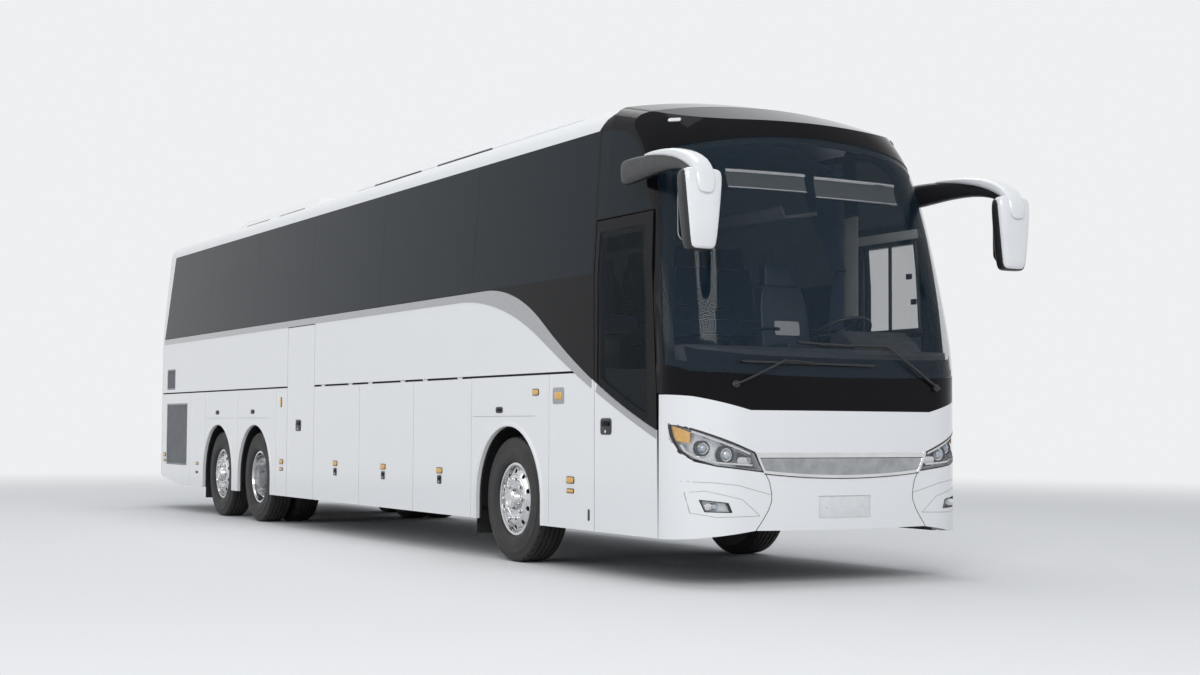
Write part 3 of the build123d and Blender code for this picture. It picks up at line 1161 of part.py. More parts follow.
grilles = [louvre(-6630, -5640, 594, 1411, 45), louvre(-6640, -6240, 1600, 1875, 45)]
save("side_louvres", *grilles, *[mirrored(item) for item in grilles])
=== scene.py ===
from math import asin, atan2, cos, pi, sin, sqrt

import bmesh
import bpy
from mathutils import Matrix, Vector


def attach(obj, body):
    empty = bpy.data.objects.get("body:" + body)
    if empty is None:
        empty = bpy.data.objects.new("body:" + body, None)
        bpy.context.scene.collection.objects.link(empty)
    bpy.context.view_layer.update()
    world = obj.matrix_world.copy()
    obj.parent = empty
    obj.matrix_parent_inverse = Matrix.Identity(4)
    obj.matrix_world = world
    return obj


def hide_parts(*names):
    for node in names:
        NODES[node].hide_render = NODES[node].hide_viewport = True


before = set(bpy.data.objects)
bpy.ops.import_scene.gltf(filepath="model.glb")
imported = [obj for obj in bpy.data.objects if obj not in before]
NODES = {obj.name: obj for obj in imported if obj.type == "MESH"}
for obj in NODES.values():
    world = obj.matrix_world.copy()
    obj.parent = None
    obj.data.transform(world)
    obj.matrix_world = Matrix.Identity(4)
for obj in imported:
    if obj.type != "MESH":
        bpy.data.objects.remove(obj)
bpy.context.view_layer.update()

bl_info = {
    "name": "Touring coach",
    "version": (1, 0, 0),
    "blender": (4, 5, 0),
    "location": "View3D > Sidebar > Coach",
    "description": "Dresses the packed three-axle coach with its paint, glass, tyres, lamps and cabin",
    "category": "Object",
}

# Places in the frame, in metres

FRONT_AXLE_X = 3.9
DRIVE_AXLE_X = -2.825
TAG_AXLE_X = -4.267
AXLE_Z = 0.522
SINGLE_Y = 1.087
TWIN_Y = 0.9195
TWIN_SPACING = 0.335
LEFT_WHEEL_TURN = 12 * pi / 180
SEAT_ROWS = 13
FLOOR_NEAR = 8.0
FLOOR_FAR = 26.0
HALF_WIDTH = 1.275
OTHER_SHADE = 0.93
SIDES = (("right", -1), ("left", 1))
WHEEL_TURN = Matrix(((1, 0, 0, 0), (0, 0, -1, 0), (0, 1, 0, 0), (0, 0, 0, 1)))


# Settings

class CoachPaint(bpy.types.PropertyGroup):
    """Colours of the coach's finishes."""

    white: bpy.props.FloatVectorProperty(
        name="Body White", description="Colour of the painted body", subtype="COLOR", size=3,
        default=(0.80, 0.81, 0.82), min=0.0, max=1.0)
    silver: bpy.props.FloatVectorProperty(
        name="Stripe Silver", description="Colour of the stripe along the sides", subtype="COLOR", size=3,
        default=(0.36, 0.36, 0.38), min=0.0, max=1.0)
    black: bpy.props.FloatVectorProperty(
        name="Gloss Black", description="Colour of the black panels and frames", subtype="COLOR", size=3,
        default=(0.005, 0.005, 0.006), min=0.0, max=1.0)
    side_glass: bpy.props.FloatVectorProperty(
        name="Side Glass", description="Tint of the side and rear windows", subtype="COLOR", size=3,
        default=(0.006, 0.013, 0.020), min=0.0, max=1.0)
    seat_blue: bpy.props.FloatVectorProperty(
        name="Seat Blue", description="Colour of the seats and curtains", subtype="COLOR", size=3,
        default=(0.018, 0.030, 0.065), min=0.0, max=1.0)


class CoachTyres(bpy.types.PropertyGroup):
    """Sizes of the tyres' tread."""

    groove_depth: bpy.props.FloatProperty(
        name="Groove Depth", description="Depth of the grooves round the tread", subtype="DISTANCE",
                                          unit="LENGTH",
        default=0.012, min=0.002, max=0.02)
    groove_width: bpy.props.FloatProperty(
        name="Groove Width", description="Width of the grooves round the tread", subtype="DISTANCE",
                                          unit="LENGTH",
        default=0.010, min=0.002, max=0.02)
    steps: bpy.props.IntProperty(
        name="Steps", description="Divisions round each tyre", default=120, min=24, max=240)


class CoachStage(bpy.types.PropertyGroup):
    """The floor, the backdrop and the camera."""

    floor: bpy.props.FloatVectorProperty(
        name="Floor", description="Colour of the floor and backdrop", subtype="COLOR", size=3,
        default=(0.80, 0.80, 0.80), min=0.0, max=1.0)
    backdrop: bpy.props.FloatVectorProperty(
        name="Backdrop", description="Colour of the world behind the coach", subtype="COLOR", size=3,
        default=(0.86, 0.87, 0.88), min=0.0, max=1.0)
    lens: bpy.props.FloatProperty(
        name="Lens", description="Focal length of the camera", subtype="DISTANCE_CAMERA", default=51.87,
                                  min=10.0,
        max=200.0)


# Mesh helpers

NOSE_SECTIONS = (
    (1.500, 6.830, 0.860, 0.031, 6.330, 1.275),
    (2.000, 6.762, 0.850, 0.034, 6.285, 1.275),
    (2.450, 6.682, 0.780, 0.035, 6.215, 1.264),
    (2.850, 6.592, 0.735, 0.038, 6.115, 1.238),
    (3.150, 6.512, 0.650, 0.040, 5.990, 1.218),
    (3.400, 6.425, 0.540, 0.054, 5.790, 1.200),
    (3.750, 6.110, 0.350, 0.060, 5.410, 1.165),
)
BELT_Z = 2.29
SHOULDER_Y = 1.20
SHOULDER_Z = 3.42


def side_y(z):
    """How far out the side wall is at a height."""
    return HALF_WIDTH - max(0.0, z - BELT_Z) * (HALF_WIDTH - SHOULDER_Y) / (SHOULDER_Z - BELT_Z)


def nose_x(y, z):
    """How far forward the nose's surface is at a place in the front view."""
    level = min(max(z, NOSE_SECTIONS[0][0]), NOSE_SECTIONS[-1][0])
    for low, high in zip(NOSE_SECTIONS, NOSE_SECTIONS[1:]):
        if level <= high[0]:
            part = (level - low[0]) / (high[0] - low[0])
            break
    front, corner_y, sag, side_x, half = [a + part * (b - a) for a, b in zip(low[1:], high[1:])]
    wide = (corner_y ** 2 + sag ** 2) / (2 * sag)
    if abs(y) <= corner_y:
        return front - wide + sqrt(wide ** 2 - y ** 2)
    turn = asin(corner_y / wide)
    inward = Vector((-cos(turn), -sin(turn)))
    across = Vector((side_x - front + sag, half - corner_y))
    tight = across.length_squared / (2 * across.dot(inward))
    centre = Vector((front - sag, corner_y)) + tight * inward
    return centre.x + sqrt(max(tight ** 2 - (abs(y) - centre.y) ** 2, 0.0))


def on_side(x, z, way, out=0.0):
    """Place and turn of a small shape on a side wall: way is -1 on the right and 1 on the left."""
    return Matrix(((1, 0, 0, x), (0, 0, way, way * (side_y(z) + out)), (0, 1, 0, z), (0, 0, 0, 1)))


def facing(place, direction, up=(0, 0, 1)):
    """The place and turn of a small shape whose Z axis looks along a direction."""
    ahead = Vector(direction).normalized()
    across = Vector(up).cross(ahead).normalized()
    matrix = Matrix((across, ahead.cross(across), ahead)).transposed().to_4x4()
    matrix.translation = Vector(place)
    return matrix


def place(bm, small, matrix=None, material=0):
    """Move a small shape into a piece's mesh and give it one of the piece's materials."""
    if matrix is not None:
        bmesh.ops.transform(small, matrix=matrix, verts=small.verts)
    for face in small.faces:
        face.material_index = material
    mesh = bpy.data.meshes.new("small")
    small.to_mesh(mesh)
    small.free()
    bm.from_mesh(mesh)
    bpy.data.meshes.remove(mesh)


def box(size, radius=0.0, segments=3):
    """A box about its middle, with rounded edges."""
    small = bmesh.new()
    bmesh.ops.create_cube(small, size=1.0)
    bmesh.ops.scale(small, vec=Vector(size), verts=small.verts)
    if radius:
        round_off(small, list(small.edges), radius, segments)
    return small


def round_off(small, edges, radius, segments=3):
    """Bevel some edges of a small shape."""
    bmesh.ops.bevel(small, geom=edges, offset=radius, offset_type="OFFSET", segments=segments, profile=0.5,
                    affect="EDGES", material=-1, clamp_overlap=True)


def slab(outline, depth, radius=0.0, segments=2):
    """An outline in X and Y with a depth along Z and a rounded front edge."""
    small = bmesh.new()
    face = small.faces.new([small.verts.new((a, b, 0)) for a, b in outline])
    raised = bmesh.ops.extrude_face_region(small, geom=[face])
    moved = {item for item in raised["geom"] if isinstance(item, bmesh.types.BMVert)}
    bmesh.ops.translate(small, vec=(0, 0, depth), verts=list(moved))
    if radius:
        round_off(small, [edge for edge in small.edges if set(edge.verts) <= moved], radius, segments)
    return small


def rounded_outline(width, height, radius, steps=5):
    """The outline of a rectangle with round corners, about its middle."""
    outline = []
    for corner, (a, b) in enumerate(((1, 1), (-1, 1), (-1, -1), (1, -1))):
        for step in range(steps + 1):
            angle = (corner + step / steps) * pi / 2
            outline.append((a * (width / 2 - radius) + radius * cos(angle),
                            b * (height / 2 - radius) + radius * sin(angle)))
    return outline


def lathe(profile, steps=32, closed=False):
    """A profile of radius and height spun about Z."""
    small = bmesh.new()
    verts = [small.verts.new((radius, 0, height)) for radius, height in profile]
    edges = [small.edges.new(pair) for pair in zip(verts, verts[1:])]
    if closed:
        edges.append(small.edges.new((verts[-1], verts[0])))
    bmesh.ops.spin(small, geom=verts + edges, cent=(0, 0, 0), axis=(0, 0, 1), angle=2 * pi, steps=steps,
                   use_merge=True)
    bmesh.ops.remove_doubles(small, verts=small.verts, dist=0.00002)
    bmesh.ops.recalc_face_normals(small, faces=small.faces)
    return small


def ringed(rings, capped=True):
    """A skin over closed rings of equal count, bridged one to the next."""
    small = bmesh.new()
    loops = []
    for ring in rings:
        verts = [small.verts.new(point) for point in ring]
        loops.append([small.edges.new((verts[i - 1], verts[i])) for i in range(len(verts))])
    for low, high in zip(loops, loops[1:]):
        bmesh.ops.bridge_loops(small, edges=low + high)
    if capped:
        for loop in (loops[0], loops[-1]):
            bmesh.ops.edgeloop_fill(small, edges=loop)
    bmesh.ops.recalc_face_normals(small, faces=small.faces)
    return small


def tube(points, radius, sides=4, smooth=True):
    """A round bar along a line of points."""
    curve = bpy.data.curves.new("bar", "CURVE")
    curve.dimensions = "3D"
    curve.bevel_depth = radius
    curve.bevel_resolution = sides
    curve.use_fill_caps = True
    spline = curve.splines.new("NURBS" if smooth else "POLY")
    spline.points.add(len(points) - 1)
    for point, where in zip(spline.points, points):
        point.co = (*where, 1.0)
    if smooth:
        spline.order_u = 3
        spline.use_endpoint_u = True
        spline.resolution_u = 6
    holder = bpy.data.objects.new("bar", curve)
    mesh = bpy.data.meshes.new_from_object(holder)
    small = bmesh.new()
    small.from_mesh(mesh)
    bpy.data.objects.remove(holder)
    bpy.data.curves.remove(curve)
    bpy.data.meshes.remove(mesh)
    bmesh.ops.remove_doubles(small, verts=small.verts, dist=0.00002)
    return small


def finish_mesh(name, bm, body, materials, smooth=0.6, levels=0, merge=0.00001):
    """Turn a bmesh into a piece that rides on a body of the frame."""
    bmesh.ops.remove_doubles(bm, verts=bm.verts, dist=merge)
    bmesh.ops.recalc_face_normals(bm, faces=bm.faces)
    mesh = bpy.data.meshes.new(name)
    bm.to_mesh(mesh)
    bm.free()
    piece = bpy.data.objects.new(name, mesh)
    bpy.context.scene.collection.objects.link(piece)
    for material in materials:
        mesh.materials.append(material)
    mesh.shade_smooth()
    mesh.set_sharp_from_angle(angle=smooth)
    if levels:
        rounding = piece.modifiers.new("Rounding", "SUBSURF")
        rounding.levels = levels
        rounding.render_levels = levels
    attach(piece, body)
    return piece


# Shared shader effects

def add_socket(group, name, kind, way, default=None):
    """One named socket on a shader node group."""
    made = group.interface.new_socket(name=name, in_out=way, socket_type=kind)
    if default is not None:
        made.default_value = default
    return made


def grain_group():
    """A fine grain: it varies colour and roughness and gives a small height."""
    found = bpy.data.node_groups.get("Fine Grain")
    if found:
        return found
    group = bpy.data.node_groups.new("Fine Grain", "ShaderNodeTree")
    add_socket(group, "Scale", "NodeSocketFloat", "INPUT", 10.0)
    add_socket(group, "Fine Scale", "NodeSocketFloat", "INPUT", 400.0)
    add_socket(group, "Colour", "NodeSocketColor", "INPUT")
    add_socket(group, "Other Colour", "NodeSocketColor", "INPUT")
    add_socket(group, "Low Roughness", "NodeSocketFloat", "INPUT", 0.3)
    add_socket(group, "High Roughness", "NodeSocketFloat", "INPUT", 0.4)
    add_socket(group, "Colour", "NodeSocketColor", "OUTPUT")
    add_socket(group, "Roughness", "NodeSocketFloat", "OUTPUT")
    add_socket(group, "Height", "NodeSocketFloat", "OUTPUT")
    nodes, links = group.nodes, group.links
    entry = nodes.new("NodeGroupInput")
    leave = nodes.new("NodeGroupOutput")
    place = nodes.new("ShaderNodeTexCoord")
    broad = nodes.new("ShaderNodeTexNoise")
    broad.inputs["Detail"].default_value = 4.0
    fine = nodes.new("ShaderNodeTexNoise")
    fine.inputs["Detail"].default_value = 2.0
    spread = nodes.new("ShaderNodeMapRange")
    spread.inputs["From Min"].default_value = 0.35
    spread.inputs["From Max"].default_value = 0.65
    colours = nodes.new("ShaderNodeMix")
    colours.data_type = "RGBA"
    gloss = nodes.new("ShaderNodeMapRange")
    links.new(place.outputs["Object"], broad.inputs["Vector"])
    links.new(place.outputs["Object"], fine.inputs["Vector"])
    links.new(entry.outputs["Scale"], broad.inputs["Scale"])
    links.new(entry.outputs["Fine Scale"], fine.inputs["Scale"])
    links.new(broad.outputs["Fac"], spread.inputs["Value"])
    links.new(spread.outputs["Result"], colours.inputs["Factor"])
    links.new(entry.outputs["Colour"], colours.inputs["A"])
    links.new(entry.outputs["Other Colour"], colours.inputs["B"])
    links.new(spread.outputs["Result"], gloss.inputs["Value"])
    links.new(entry.outputs["Low Roughness"], gloss.inputs["To Min"])
    links.new(entry.outputs["High Roughness"], gloss.inputs["To Max"])
    links.new(colours.outputs["Result"], leave.inputs["Colour"])
    links.new(gloss.outputs["Result"], leave.inputs["Roughness"])
    links.new(fine.outputs["Fac"], leave.inputs["Height"])
    return group


def finish(name, colour, other=None, rough=(0.3, 0.4), scale=6.0, fine=300.0, bump=0.05, depth=0.0005,
           **constants):
    """A Principled material whose colour, roughness and bump come from the shared grain."""
    found = bpy.data.materials.get(name)
    if found:
        return found
    material = bpy.data.materials.new(name)
    material.use_nodes = True
    nodes, links = material.node_tree.nodes, material.node_tree.links
    shader = nodes["Principled BSDF"]
    grain = nodes.new("ShaderNodeGroup")
    grain.node_tree = grain_group()
    base = tuple(colour) + (1.0,)
    grain.inputs["Colour"].default_value = base
    second = tuple(other) if other else tuple(OTHER_SHADE * c for c in colour)
    grain.inputs["Other Colour"].default_value = second + (1.0,)
    grain.inputs["Scale"].default_value = scale
    grain.inputs["Fine Scale"].default_value = fine
    grain.inputs["Low Roughness"].default_value = rough[0]
    grain.inputs["High Roughness"].default_value = rough[1]
    links.new(grain.outputs["Colour"], shader.inputs["Base Color"])
    links.new(grain.outputs["Roughness"], shader.inputs["Roughness"])
    if bump:
        relief = nodes.new("ShaderNodeBump")
        relief.inputs["Strength"].default_value = bump
        relief.inputs["Distance"].default_value = depth
        links.new(grain.outputs["Height"], relief.inputs["Height"])
        links.new(relief.outputs["Normal"], shader.inputs["Normal"])
    for socket, value in constants.items():
        shader.inputs[socket.replace("_", " ")].default_value = value
    return material


def finishes():
    """Every material of the coach, by name."""
    paint = bpy.context.scene.coach_paint
    white, silver, black = tuple(paint.white), tuple(paint.silver), tuple(paint.black)
    glass, blue = tuple(paint.side_glass), tuple(paint.seat_blue)
    made = {
        "white": finish("Coach White Paint", white, tuple(0.99 * c for c in white), rough=(0.24, 0.27),
                        scale=1.5,
                        fine=120.0, bump=0.004, Coat_Weight=0.7, Coat_Roughness=0.04),
        "silver": finish("Stripe Silver Paint", silver, rough=(0.28, 0.36), scale=40.0, fine=2500.0,
                         bump=0.05,
                         Metallic=0.7, Coat_Weight=1.0, Coat_Roughness=0.05),
        "black": finish("Gloss Black Panel", black, tuple(1.2 * c for c in black), rough=(0.05, 0.08),
                        scale=2.0,
                        fine=60.0, bump=0.0, Specular_IOR_Level=0.09),
        "side_glass": finish("Tinted Side Glass", glass, rough=(0.01, 0.02), scale=0.8, bump=0.0, Alpha=0.90,
                             Specular_IOR_Level=0.12),
        # The windscreen's blue colour is partly the glass's own tint and partly a painted reflection of the
        # blue sky.
        "screen": finish("Clear Windscreen Glass", (0.02, 0.05, 0.08), rough=(0.0, 0.004), scale=0.8,
                         bump=0.0,
                         Alpha=0.16),
        "cover": finish("Clear Lamp Cover", (0.60, 0.62, 0.64), rough=(0.0, 0.004), scale=5.0, bump=0.0,
                        Alpha=0.07,
                        IOR=1.9),
        "red_lens": finish("Red Lamp Lens", (0.42, 0.008, 0.008), rough=(0.08, 0.14), scale=30.0, fine=600.0,
                           bump=0.25, Coat_Weight=1.0),
        "amber": finish("Amber Lens", (0.78, 0.42, 0.05), (0.66, 0.32, 0.03), rough=(0.08, 0.16), scale=60.0,
                        fine=700.0, bump=0.3, Coat_Weight=0.8),
        "lens": finish("Lamp Projector", (0.55, 0.60, 0.66), (0.40, 0.46, 0.54), rough=(0.02, 0.05),
                       scale=30.0,
                       fine=200.0, bump=0.02, Metallic=0.3, Coat_Weight=1.0),
        "plate": finish("Blank Plate", (0.74, 0.75, 0.76), rough=(0.30, 0.40), scale=20.0, fine=900.0,
                        bump=0.05),
        "grille_dark": finish("Brushed Grille", (0.42, 0.43, 0.44), (0.34, 0.35, 0.36), rough=(0.16, 0.26),
                              scale=12.0,
                              fine=500.0, bump=0.03, Metallic=1.0),
        "reflector": finish("Lamp Reflector", (0.74, 0.76, 0.78), (0.66, 0.68, 0.71), rough=(0.22, 0.30),
                            scale=9.0,
                            fine=300.0, bump=0.02, Metallic=0.45),
        "panel": finish("Side Panel", white, tuple(0.99 * c for c in white), rough=(0.24, 0.27), scale=1.5,
                        fine=120.0, bump=0.004, Coat_Weight=0.7, Coat_Roughness=0.04),
        "blind": finish("Roller Blind", (0.085, 0.090, 0.088), (0.070, 0.075, 0.074), rough=(0.7, 0.8),
                        scale=40.0,
                        fine=900.0, bump=0.2),
        # The ceiling sheet's near-black colour is painted shade for the dark cabin roof.
        "lining": finish("Ceiling Painted Shade", (0.060, 0.062, 0.066), rough=(0.6, 0.7), scale=12.0, fine=900.0,
                         bump=0.3),
        "crease": finish("Shaded Crease", (0.36, 0.37, 0.38), rough=(0.35, 0.45), scale=10.0, fine=400.0,
                         bump=0.02),
        "chrome": finish("Polished Chrome", (0.72, 0.72, 0.73), rough=(0.04, 0.09), scale=8.0, fine=400.0,
                         bump=0.01,
                         Metallic=1.0),
        "alloy": finish("Polished Alloy", (0.68, 0.68, 0.69), (0.60, 0.60, 0.61), rough=(0.10, 0.20),
                        scale=14.0,
                        fine=900.0, bump=0.03, Metallic=1.0),
        "tyre": finish("Tyre Rubber", (0.014, 0.014, 0.015), (0.028, 0.027, 0.026), rough=(0.55, 0.75),
                       scale=7.0,
                       fine=500.0, bump=0.3, depth=0.001),
        "rubber": finish("Black Rubber", (0.012, 0.012, 0.012), rough=(0.5, 0.65), scale=10.0, fine=500.0,
                         bump=0.2),
        "plastic": finish("Black Moulded Plastic", (0.016, 0.016, 0.018), rough=(0.30, 0.42), scale=12.0,
                          fine=900.0,
                          bump=0.2),
        "shell": finish("White Mirror Shell", white, rough=(0.18, 0.25), scale=3.0, fine=250.0, bump=0.02,
                        Coat_Weight=1.0, Coat_Roughness=0.04),
        "louvre": finish("Grey Louvre Plastic", (0.24, 0.25, 0.27), rough=(0.4, 0.5), scale=10.0, fine=700.0,
                         bump=0.15),
        "dash": finish("Soft Dash Plastic", (0.030, 0.031, 0.034), rough=(0.5, 0.65), scale=10.0, fine=1400.0,
                       bump=0.5),
        "leather": finish("Blue Grey Leather", (0.020, 0.028, 0.042), (0.030, 0.038, 0.055),
                          rough=(0.35, 0.5),
                          scale=18.0, fine=260.0, bump=0.35, depth=0.001),
        "fabric": finish("Blue Seat Cloth", blue, tuple(1.6 * c for c in blue), rough=(0.8, 0.95), scale=60.0,
                         fine=900.0, bump=0.5, depth=0.001, Sheen_Weight=0.3),
        "cabin": finish("Cabin Lining", (0.42, 0.42, 0.40), rough=(0.6, 0.75), scale=9.0, fine=900.0,
                        bump=0.2),
        "floor": finish("Cabin Floor Covering", (0.060, 0.062, 0.068), (0.09, 0.09, 0.095), rough=(0.6, 0.8),
                        scale=120.0, fine=700.0, bump=0.2),
        "bay": finish("Bay Sheet", (0.34, 0.35, 0.36), rough=(0.4, 0.55), scale=15.0, fine=500.0, bump=0.1,
                      Metallic=0.8),
        "chassis": finish("Black Chassis Paint", (0.018, 0.018, 0.020), (0.032, 0.030, 0.028),
                          rough=(0.45, 0.6),
                          scale=8.0, fine=400.0, bump=0.2),
        "casting": finish("Bare Casting", (0.085, 0.085, 0.088), (0.06, 0.058, 0.056), rough=(0.55, 0.7),
                          scale=20.0,
                          fine=350.0, bump=0.5, depth=0.001, Metallic=0.6),
    }
    for name in ("side_glass", "screen", "cover"):
        made[name].surface_render_method = "BLENDED"
    # Painted shade in the side panels' seams and on their inner face.
    paint_seam_and_inner_shade(made["panel"])
    clear_pane(made["side_glass"])
    return made


DRIVER_PANE_REAR_X = 5.42
DRIVER_PANE_TOP_Z = 2.68
TINTED_ALPHA = 0.90
CLEAR_ALPHA = 0.25
OUTER_FACE_DEPTH = 0.004
INNER_FACE_DEPTH = 0.007
# The colour of the painted shade in the side panels' seams and on their inner face.
SEAM_AND_INNER_SHADE_COLOUR = (0.05, 0.05, 0.052, 1.0)


def clear_pane(material):
    """Leave the tint out of the driver's window, which is the low pane furthest forward."""
    nodes, links = material.node_tree.nodes, material.node_tree.links
    if nodes.get("Clear Pane"):
        return
    place = nodes.new("ShaderNodeTexCoord")
    parts = nodes.new("ShaderNodeSeparateXYZ")
    ahead = nodes.new("ShaderNodeMath")
    ahead.operation = "GREATER_THAN"
    ahead.inputs[1].default_value = DRIVER_PANE_REAR_X
    below = nodes.new("ShaderNodeMath")
    below.operation = "LESS_THAN"
    below.inputs[1].default_value = DRIVER_PANE_TOP_Z
    both = nodes.new("ShaderNodeMath")
    both.operation = "MULTIPLY"
    tint = nodes.new("ShaderNodeMapRange")
    tint.name = "Clear Pane"
    tint.inputs["To Min"].default_value = TINTED_ALPHA
    tint.inputs["To Max"].default_value = CLEAR_ALPHA
    links.new(place.outputs["Object"], parts.inputs["Vector"])
    links.new(parts.outputs["X"], ahead.inputs[0])
    links.new(parts.outputs["Z"], below.inputs[0])
    links.new(ahead.outputs["Value"], both.inputs[0])
    links.new(below.outputs["Value"], both.inputs[1])
    links.new(both.outputs["Value"], tint.inputs["Value"])
    links.new(tint.outputs["Result"], nodes["Principled BSDF"].inputs["Alpha"])


def paint_seam_and_inner_shade(material):
    """Darken a side panel's paint in the seams and on the inner face: painted shade in the seams' gaps, and
    on the inner face a dark lining colour that is partly painted shade.
    """
    nodes, links = material.node_tree.nodes, material.node_tree.links
    shader = nodes["Principled BSDF"]
    if nodes.get("Seam And Inner Shade"):
        return
    place = nodes.new("ShaderNodeTexCoord")
    parts = nodes.new("ShaderNodeSeparateXYZ")
    out = nodes.new("ShaderNodeMath")
    out.operation = "ABSOLUTE"
    edge = nodes.new("ShaderNodeMapRange")
    edge.name = "Seam And Inner Shade"
    edge.inputs["From Min"].default_value = HALF_WIDTH - INNER_FACE_DEPTH
    edge.inputs["From Max"].default_value = HALF_WIDTH - OUTER_FACE_DEPTH
    mix = nodes.new("ShaderNodeMix")
    mix.data_type = "RGBA"
    mix.inputs["A"].default_value = SEAM_AND_INNER_SHADE_COLOUR
    links.new(place.outputs["Object"], parts.inputs["Vector"])
    links.new(parts.outputs["Y"], out.inputs[0])
    links.new(out.outputs["Value"], edge.inputs["Value"])
    links.new(edge.outputs["Result"], mix.inputs["Factor"])
    links.new(shader.inputs["Base Color"].links[0].from_socket, mix.inputs["B"])
    links.new(mix.outputs["Result"], shader.inputs["Base Color"])
    links.new(edge.outputs["Result"], shader.inputs["Coat Weight"])


CAD_FINISHES = {
    "white": ("engine_lid", "front_panels", "rear_wall", "roof_pods", "roof_shell"),
    "panel": ("front_door", "mid_door", "side_panels_left", "side_panels_right"),
    "silver": ("side_stripes",),
    "black": ("black_panels", "front_door_frame", "window_frames"),
    "side_glass": ("side_glass", "front_door_glass", "rear_window"),
    "screen": ("windscreen",),
    "cover": ("front_lamps",),
    "red_lens": ("rear_lamps",),
    "chrome": ("grille",),
    "plastic": ("mirror_arms", "wipers", "steering_wheel"),
    "shell": ("mirror_heads",),
    "louvre": ("side_louvres",),
    "dash": ("dashboard",),
    "leather": ("cab_seats",),
    "fabric": ("passenger_seats",),
    "cabin": ("luggage_racks",),
    "floor": ("floor_deck",),
    "bay": ("luggage_bays",),
    "chassis": ("chassis_frame", "axle_beams", "front_door_arm", "mid_door_arm"),
    "casting": ("engine_block", "knuckle_left", "knuckle_right"),
    "rubber": ("mudflaps",),
}


# Tyres

def tread_profile(settings):
    """The tyre's section as radius and place along the axle."""
    half = [(0.2870, -0.103), (0.3060, -0.103), (0.3090, -0.1230), (0.3180, -0.1330), (0.3400, -0.1405),
            (0.3440, -0.1425), (0.3480, -0.1425), (0.3520, -0.1435), (0.3810, -0.1450), (0.4100, -0.1440),
            (0.4380, -0.1400), (0.4420, -0.1415), (0.4470, -0.1408), (0.4510, -0.1372), (0.4800, -0.1310),
            (0.4990, -0.1275), (0.5100, -0.1230), (0.5165, -0.1150), (0.5200, -0.1040)]
    deep, wide = settings.groove_depth, settings.groove_width / 2
    for place in (-0.066, -0.022):
        half += [(0.5212, place - wide - 0.001), (0.5205 - deep, place - wide * 0.6),
                 (0.5205 - deep, place + wide * 0.6), (0.5214, place + wide + 0.001)]
    return half + [(radius, -along) for radius, along in reversed(half)]


def make_tyre(name, x, y, body, nodes, settings, material):
    """One tyre, or a pair, with ribs, grooves and notched shoulders."""
    bm = bmesh.new()
    for along in y:
        small = lathe(tread_profile(settings), settings.steps, closed=True)
        notched = []
        for face in small.faces:
            centre = face.calc_center_median()
            radius = Vector((centre.x, centre.y)).length
            step = round((pi + Vector((centre.x, centre.y)).angle_signed(Vector((1, 0)))) / (2 * pi)
                         * settings.steps - 0.5)
            if radius > 0.508 and abs(centre.z) > 0.100 and step % 3 == 0:
                notched.append(face)
        if not bmesh.ops.inset_individual(small, faces=notched, thickness=0.002, depth=-0.005)["faces"]:
            raise RuntimeError("the tyre's shoulder has no notches")
        place(bm, small, Matrix.Translation((x, along, AXLE_Z)) @ WHEEL_TURN)
    piece = finish_mesh(name, bm, body, [material])
    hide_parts(*nodes)
    return piece


# Mirrors: each row is a place along X, a place out from the middle, a height, half a width and half a height

ARM_SECTIONS = (
    (5.922, 1.335, 2.995, 0.036, 0.080),
    (5.945, 1.335, 2.996, 0.044, 0.094),
    (6.060, 1.337, 2.998, 0.046, 0.098),
    (6.300, 1.345, 3.003, 0.044, 0.083),
    (6.550, 1.356, 3.001, 0.042, 0.068),
    (6.800, 1.372, 2.975, 0.040, 0.058),
    (6.960, 1.385, 2.915, 0.038, 0.048),
    (7.040, 1.392, 2.860, 0.036, 0.038),
)
COVER_SECTIONS = (
    (6.240, 1.345, 3.082, 0.020, 0.005),
    (6.330, 1.348, 3.081, 0.044, 0.014),
    (6.520, 1.356, 3.070, 0.056, 0.024),
    (6.740, 1.368, 3.038, 0.066, 0.036),
    (6.900, 1.379, 2.992, 0.072, 0.045),
    (7.030, 1.388, 2.928, 0.078, 0.045),
    (7.100, 1.392, 2.860, 0.080, 0.036),
    (7.130, 1.3925, 2.780, 0.080, 0.024),
    (7.136, 1.3925, 2.700, 0.056, 0.008),
)
# The head's rings: height, half the width, half the thickness
HEAD_SECTIONS = (
    (2.330, 0.075, 0.030),
    (2.345, 0.100, 0.046),
    (2.400, 0.112, 0.057),
    (2.560, 0.130, 0.062),
    (2.740, 0.148, 0.062),
    (2.840, 0.155, 0.058),
    (2.874, 0.142, 0.046),
    (2.885, 0.110, 0.028),
)
HEAD_X = 7.066
HEAD_Y = 1.3925


def bar_rings(sections, way, sides=12):
    """Rings of an oval bar that leans with its own line in the side view."""
    rings = []
    for index, (x, out, z, half_y, half_z) in enumerate(sections):
        before = sections[max(index - 1, 0)]
        after = sections[min(index + 1, len(sections) - 1)]
        slope = Vector((after[0] - before[0], after[2] - before[2])).normalized()
        ring = []
        for step in range(sides):
            angle = 2 * pi * (step + 0.5) / sides
            across = half_y * abs(cos(angle)) ** 0.6 * (1 if cos(angle) > 0 else -1)
            rise = half_z * abs(sin(angle)) ** 0.6 * (1 if sin(angle) > 0 else -1)
            ring.append((x - rise * slope.y, way * (out + across), z + rise * slope.x))
        rings.append(ring)
    return rings


